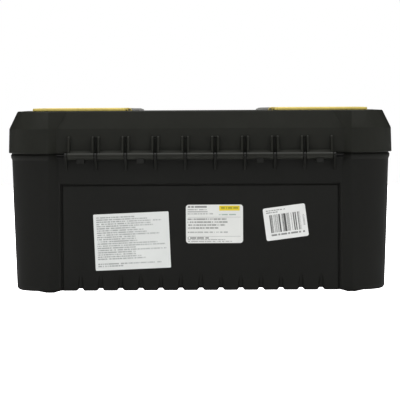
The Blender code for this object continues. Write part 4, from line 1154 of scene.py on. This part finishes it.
def moulded(name, colour, roughness, grain=0.35, scuffs=0.5, gloss=0.32):
    """Moulded plastic: fine grain, cloudy gloss, a few long scuffs, dust specks, and paler edges that are partly
    wear and partly a painted highlight.
    """
    material, tree, shader = new_finish(name, roughness)
    shader.inputs["Specular IOR Level"].default_value = gloss
    coords = add(tree, "TexCoord").outputs["Object"]
    cloud = noise(coords, 24.0, 5.0, 0.6)
    fine = noise(coords, 1500.0)
    mottle = noise(coords, 260.0, 3.0)
    stretched = add(tree, "Mapping", Vector=coords, Rotation=(0.4, 0.9, 0.7), Scale=(6.0, 260.0, 60.0))
    patches = mapped(noise(coords, 11.0), 0.50, 0.62, 0.0, scuffs)
    scratch = times(mapped(noise(stretched.outputs[0], 1.0), 0.70, 0.78), patches)
    speck = mapped(noise(coords, 620.0, 1.0), 0.76, 0.80, 0.0, 0.5 * scuffs)
    # Convex edges, found by pointiness, are painted paler: partly edge wear and partly a painted highlight along
    # the edges.
    edges = mapped(add(tree, "NewGeometry").outputs["Pointiness"], 0.53, 0.62, 0.0, 0.6)
    edge_wear_and_highlight = times(edges, mapped(cloud, 0.35, 0.65, 0.3, 1.0))
    base = mixed(mapped(cloud), shade(colour, 0.88), shade(colour, 1.12))
    base = mixed(mapped(mottle, out_high=0.5), base, shade(colour, 1.25))
    # Scuffs, specks and the paler edges lighten the colour; the paler edges are partly a painted highlight.
    marks = sums("MAXIMUM", scratch, speck, edge_wear_and_highlight)
    pale = shade([channel + 0.05 for channel in colour], 1.0)
    base = mixed(times(marks, 0.35), base, pale)
    dull = mapped(cloud, out_low=roughness - 0.05, out_high=roughness + 0.06)
    dull = sums("ADD", dull, times(scratch, 0.10))
    height = sums("ADD", fine, times(mottle, 0.8))
    height = sums("SUBTRACT", height, times(scratch, 0.5))
    cover_with(shader, base, dull, height, grain, 0.00006)
    return material


def soft_rubber(name):
    """Rubber with a fine grain, cloudy gloss and a little dust."""
    material, tree, shader = new_finish(name, 0.72)
    coords = add(tree, "TexCoord").outputs["Object"]
    cloud = noise(coords, 40.0, 4.0)
    fine = noise(coords, 2200.0)
    colour = (0.018, 0.018, 0.018)
    dust = mapped(noise(coords, 90.0, 6.0, 0.7), 0.5, 0.75, 0.0, 0.5)
    base = mixed(mapped(cloud), shade(colour, 0.8), shade(colour, 1.3))
    base = mixed(times(dust, 0.25), base, (0.09, 0.09, 0.085, 1.0))
    cover_with(shader, base, mapped(cloud, out_low=0.64, out_high=0.80), fine, 0.5, 0.00008)
    return material


def dark_steel(name):
    """Drawn wire, blackened: streaks along it and cloudy gloss."""
    material, tree, shader = new_finish(name, 0.32, 1.0)
    coords = add(tree, "TexCoord").outputs["Object"]
    drawn = add(tree, "Mapping", Vector=coords, Scale=(30.0, 1800.0, 1800.0)).outputs[0]
    streak = noise(drawn, 1.0, 3.0)
    cloud = noise(coords, 140.0, 4.0)
    base = mixed(mapped(cloud), (0.014, 0.014, 0.014, 1.0), (0.030, 0.030, 0.029, 1.0))
    gloss = mapped(streak, out_low=0.22, out_high=0.36)
    gloss = sums("ADD", gloss, mapped(cloud, out_high=0.10))
    cover_with(shader, base, gloss, streak, 0.25, 0.00003)
    return material


# ---- Printed paper ----


def within(value, low, high):
    """1 where low < value < high, and 0 elsewhere."""
    return times(sums("GREATER_THAN", value, low), sums("LESS_THAN", value, high))


def block(u, v, left, right, low, high):
    return times(within(u, left, right), within(v, low, high))


def chance(number):
    """A value from 0 to 1 that looks random, the same each time for the same number."""
    node = add(number.id_data, "TexWhiteNoise")
    node.noise_dimensions = "1D"
    connect(node.inputs["W"], number)
    return node.outputs[0]


def whole_steps(value, size):
    """The number of whole steps of a size in a value."""
    return sums("FLOOR", sums("DIVIDE", value, size))


def dashes(u, v, left, right, top, pitch, rows, seed, letter=0.55, stroke=0.5, least=0.55):
    """Rows of small uneven dashes that stand for fine print, in millimetres from the sticker's middle.
    A row's length is between least and all of the width, and most are near the least."""
    level = sums("DIVIDE", sums("SUBTRACT", top, v), pitch)
    row = sums("FLOOR", level)
    ink = sums("LESS_THAN", sums("FRACT", level), stroke)
    column = whole_steps(u, letter)
    tree = v.id_data
    spot = add(tree, "CombineXYZ", X=column, Y=sums("ADD", row, seed)).outputs[0]
    marks = sums("GREATER_THAN", add(tree, "TexWhiteNoise", Vector=spot).outputs[0], 0.20)
    reach = sums("POWER", chance(sums("ADD", row, seed + 0.5)), 2.0)
    end = mapped(reach, 0.0, 1.0, left + least * (right - left), right)
    return times(ink, marks, within(u, left, end), within(level, 0.0, rows))


def bars(u, v, left, right, low, high, seed, module):
    """Upright bars of uneven width."""
    pick = chance(sums("ADD", whole_steps(u, module), seed))
    return times(sums("GREATER_THAN", pick, 0.5), block(u, v, left, right, low, high))


def paper(name, colour, prints):
    """Coated paper with its print: prints(u, v) gives (mask, ink colour) pairs."""
    material, tree, shader = new_finish(name, 0.42)
    coords = add(tree, "TexCoord").outputs["Object"]
    parts = add(tree, "SeparateXYZ", Vector=coords).outputs
    u = times(parts["X"], -1000.0)
    v = times(parts["Z"], 1000.0)
    fibre = noise(coords, 900.0, 3.0)
    cloud = noise(coords, 45.0, 4.0)
    base = mixed(mapped(cloud), shade(colour, 0.965), shade(colour, 1.02))
    for mask, ink in prints(u, v):
        base = mixed(mask, base, (*ink, 1.0))
    wave = sums("ADD", times(cloud, 6.0), times(fibre, 0.3))
    cover_with(shader, base, mapped(fibre, out_low=0.38, out_high=0.50), wave, 0.3, 0.0001)
    return material


def document_print(u, v):
    rows = dashes(u, v, -36.7, 36.0, 26.6, 2.3, 20, 3.0, 0.4, 0.6, 0.55)
    long_row = dashes(u, v, -36.7, 35.0, -22.4, 2.3, 1, 47.0, 0.5, 0.6, 0.93)
    short_row = dashes(u, v, -36.7, -10.0, -24.7, 2.3, 1, 49.0, 0.5, 0.6, 1.0)
    rows = sums("MAXIMUM", rows, long_row, short_row)
    return [(times(rows, mapped(u, -14.0, 14.0, 0.66, 0.50)), (0.24, 0.25, 0.25))]


# Inks
BLACK = (0.02, 0.02, 0.02)
DARK = (0.10, 0.10, 0.10)
GREY = (0.18, 0.19, 0.19)
GREEN = (0.06, 0.22, 0.16)
BROWN = (0.16, 0.14, 0.02)
YELLOW = (0.88, 0.70, 0.02)

# An ink, its strength, then what dashes takes from left to least
RATING_ROWS = (
    (BROWN, 0.55, 7.0, 25.0, 17.9, 2.2, 1, 61.0, 1.1, 1.0, 1.0),
    (DARK, 0.75, -28.2, -8.0, 18.9, 2.4, 1, 11.0, 0.9, 0.75, 1.0),
    (GREY, 0.6, -28.2, 1.0, 15.6, 2.2, 3, 13.0, 0.6, 0.5, 0.7),
    (GREEN, 0.55, 4.7, 22.6, 10.4, 1.6, 1, 19.0, 0.7, 0.8, 1.0),
    (DARK, 0.66, -28.2, 23.0, 5.8, 3.1, 3, 23.0, 0.5, 0.5, 0.75),
    (DARK, 0.66, -28.2, 4.0, -3.5, 3.1, 1, 31.0, 0.55, 0.5, 1.0),
    (GREY, 0.6, -28.2, 14.0, -8.1, 2.2, 1, 33.0, 0.6, 0.6, 1.0),
    (DARK, 0.75, -28.2, -6.0, -14.0, 1.9, 1, 37.0, 0.8, 0.8, 1.0),
    (GREY, 0.55, -28.2, 20.0, -16.1, 1.9, 2, 39.0, 0.6, 0.5, 0.7),
)
BARCODE_ROWS = (
    (BLACK, 0.65, -19.5, 3.0, 14.6, 2.1, 2, 53.0, 0.55),
    (BLACK, 0.7, -16.5, 19.0, -11.0, 2.6, 1, 59.0, 1.05, 0.7, 1.0),
    (BLACK, 0.6, 18.3, 20.3, 6.0, 1.3, 9, 67.0, 0.5, 0.55, 1.0),
)


def print_rows(u, v, table):
    return [(times(dashes(u, v, *row), strength), ink) for ink, strength, *row in table]


def rating_print(u, v):
    """A plain yellow band with soft edges, rows of dashes, and two thin rules."""
    soft = 0.6
    left = mapped(u, 4.7, 4.7 + soft)
    right = mapped(u, 26.9 - soft, 26.9, 1.0, 0.0)
    foot = mapped(v, 13.6, 13.6 + soft)
    band = times(left, right, foot, sums("LESS_THAN", v, 19.2))
    rules = [block(u, v, -27.5, 27.5, low, low + 0.35) for low in (6.9, -13.4)]
    rules = times(sums("MAXIMUM", *rules), 0.65)
    return [(band, YELLOW)] + print_rows(u, v, RATING_ROWS) + [(rules, GREY)]


def barcode_print(u, v):
    code = bars(u, v, -16.8, 15.8, -9.5, 9.5, 9.0, 0.40)
    return [(times(code, 0.9), BLACK)] + print_rows(u, v, BARCODE_ROWS)


# ---- Stage, light and camera ----


def make_floor():
    size = 3.0
    floor = raw("floor", [box(-size, size, -size, size, -0.010, -0.0002)])
    material, _, shader = new_finish("floor", 0.9)
    shader.inputs["Base Color"].default_value = (0.80, 0.80, 0.80, 1.0)
    shader.inputs["Alpha"].default_value = 0.25
    floor.data.materials.append(material)
    floor.is_shadow_catcher = True


def make_world():
    """White behind the object, soft light from all round, and a dim room in its reflections."""
    world = bpy.data.worlds.new("studio")
    bpy.context.scene.world = world
    world.use_nodes = True
    tree = world.node_tree
    background = tree.nodes["Background"]
    background.inputs["Strength"].default_value = 1.0
    rays = add(tree, "LightPath").outputs
    colour = mixed(rays["Is Diffuse Ray"], (0.020, 0.020, 0.020, 1.0), (0.86, 0.86, 0.86, 1.0))
    colour = mixed(rays["Is Camera Ray"], colour, (1.0, 1.0, 1.0, 1.0))
    connect(background.inputs["Color"], colour)


def softbox(name, place, aim, width, height, power):
    light = bpy.data.lights.new(name, "AREA")
    light.shape = "RECTANGLE"
    light.size = width
    light.size_y = height
    light.energy = power
    obj = bpy.data.objects.new(name, light)
    obj.location = place
    obj.rotation_mode = "QUATERNION"
    obj.rotation_quaternion = (Vector(aim) - Vector(place)).to_track_quat("-Z", "Y")
    bpy.context.scene.collection.objects.link(obj)


def make_lights():
    middle = (0.0, 0.0, 0.10)
    for name, side in sides():
        softbox(f"side_{name}", (side * 2.3, 0.0, 0.7), middle, width=1.6, height=1.0, power=1.2)
    softbox("top", (0.0, 0.0, 2.4), middle, width=2.4, height=1.2, power=30.0)


def make_camera():
    """A long lens a little above the middle of the rear, turned by a fraction of a degree."""
    data = bpy.data.cameras.new("camera")
    data.sensor_width = 36.0
    data.lens = 207.1
    camera = bpy.data.objects.new("camera", data)
    place = Vector((0.0, 2.5, 0.200))
    aim = Vector((0.0005, 0.0, 0.0931))
    camera.location = place
    camera.rotation_mode = "QUATERNION"
    roll = Quaternion((0.0, 0.0, 1.0), math.radians(-0.3))
    camera.rotation_quaternion = (aim - place).to_track_quat("-Z", "Y") @ roll
    bpy.context.scene.collection.objects.link(camera)
    bpy.context.scene.camera = camera
    bpy.context.scene.view_settings.view_transform = "Standard"


# ---- Everything ----


def make_everything():
    tub_plastic = moulded("tub_black", (0.0122, 0.0124, 0.0102), 0.50)
    # The lid is the tub's black plastic painted lighter: painted light for the extra light that falls on the lid
    # from above.
    lid_plastic_painted_lighter = moulded("lid_black_painted_lighter", (0.0190, 0.0198, 0.0150), 0.47)
    satin = moulded("satin_black", (0.0100, 0.0100, 0.0100), 0.36, grain=0.15)
    tray_plastic = moulded("tray_black", (0.0140, 0.0140, 0.0130), 0.52)
    yellow = moulded("cover_yellow", (0.82, 0.65, 0.17), 0.30, grain=0.08, scuffs=0.3, gloss=0.5)
    catch_grey = moulded("catch_grey", (0.450, 0.450, 0.435), 0.40, grain=0.15)
    handle_plastic = moulded("handle_black", (0.0120, 0.0120, 0.0115), 0.42, grain=0.25)
    make_tub(tub_plastic)
    make_tub_fittings(tub_plastic)
    make_lid(lid_plastic_painted_lighter)
    make_lid_hinge(lid_plastic_painted_lighter)
    make_lid_fittings(lid_plastic_painted_lighter)
    make_latches(satin)
    make_handle(handle_plastic, soft_rubber("grip_rubber"))
    make_covers(yellow, catch_grey)
    make_tray(tray_plastic)
    make_pins(dark_steel("dark_wire"))
    papers = {
        "label_document": paper("paper_document", (0.87, 0.89, 0.87), document_print),
        "label_rating": paper("paper_rating", (0.89, 0.90, 0.87), rating_print),
        "label_barcode": paper("paper_barcode", (0.93, 0.94, 0.92), barcode_print),
    }
    make_stickers(papers)
    make_floor()
    make_world()
    make_lights()
    make_camera()


make_everything()
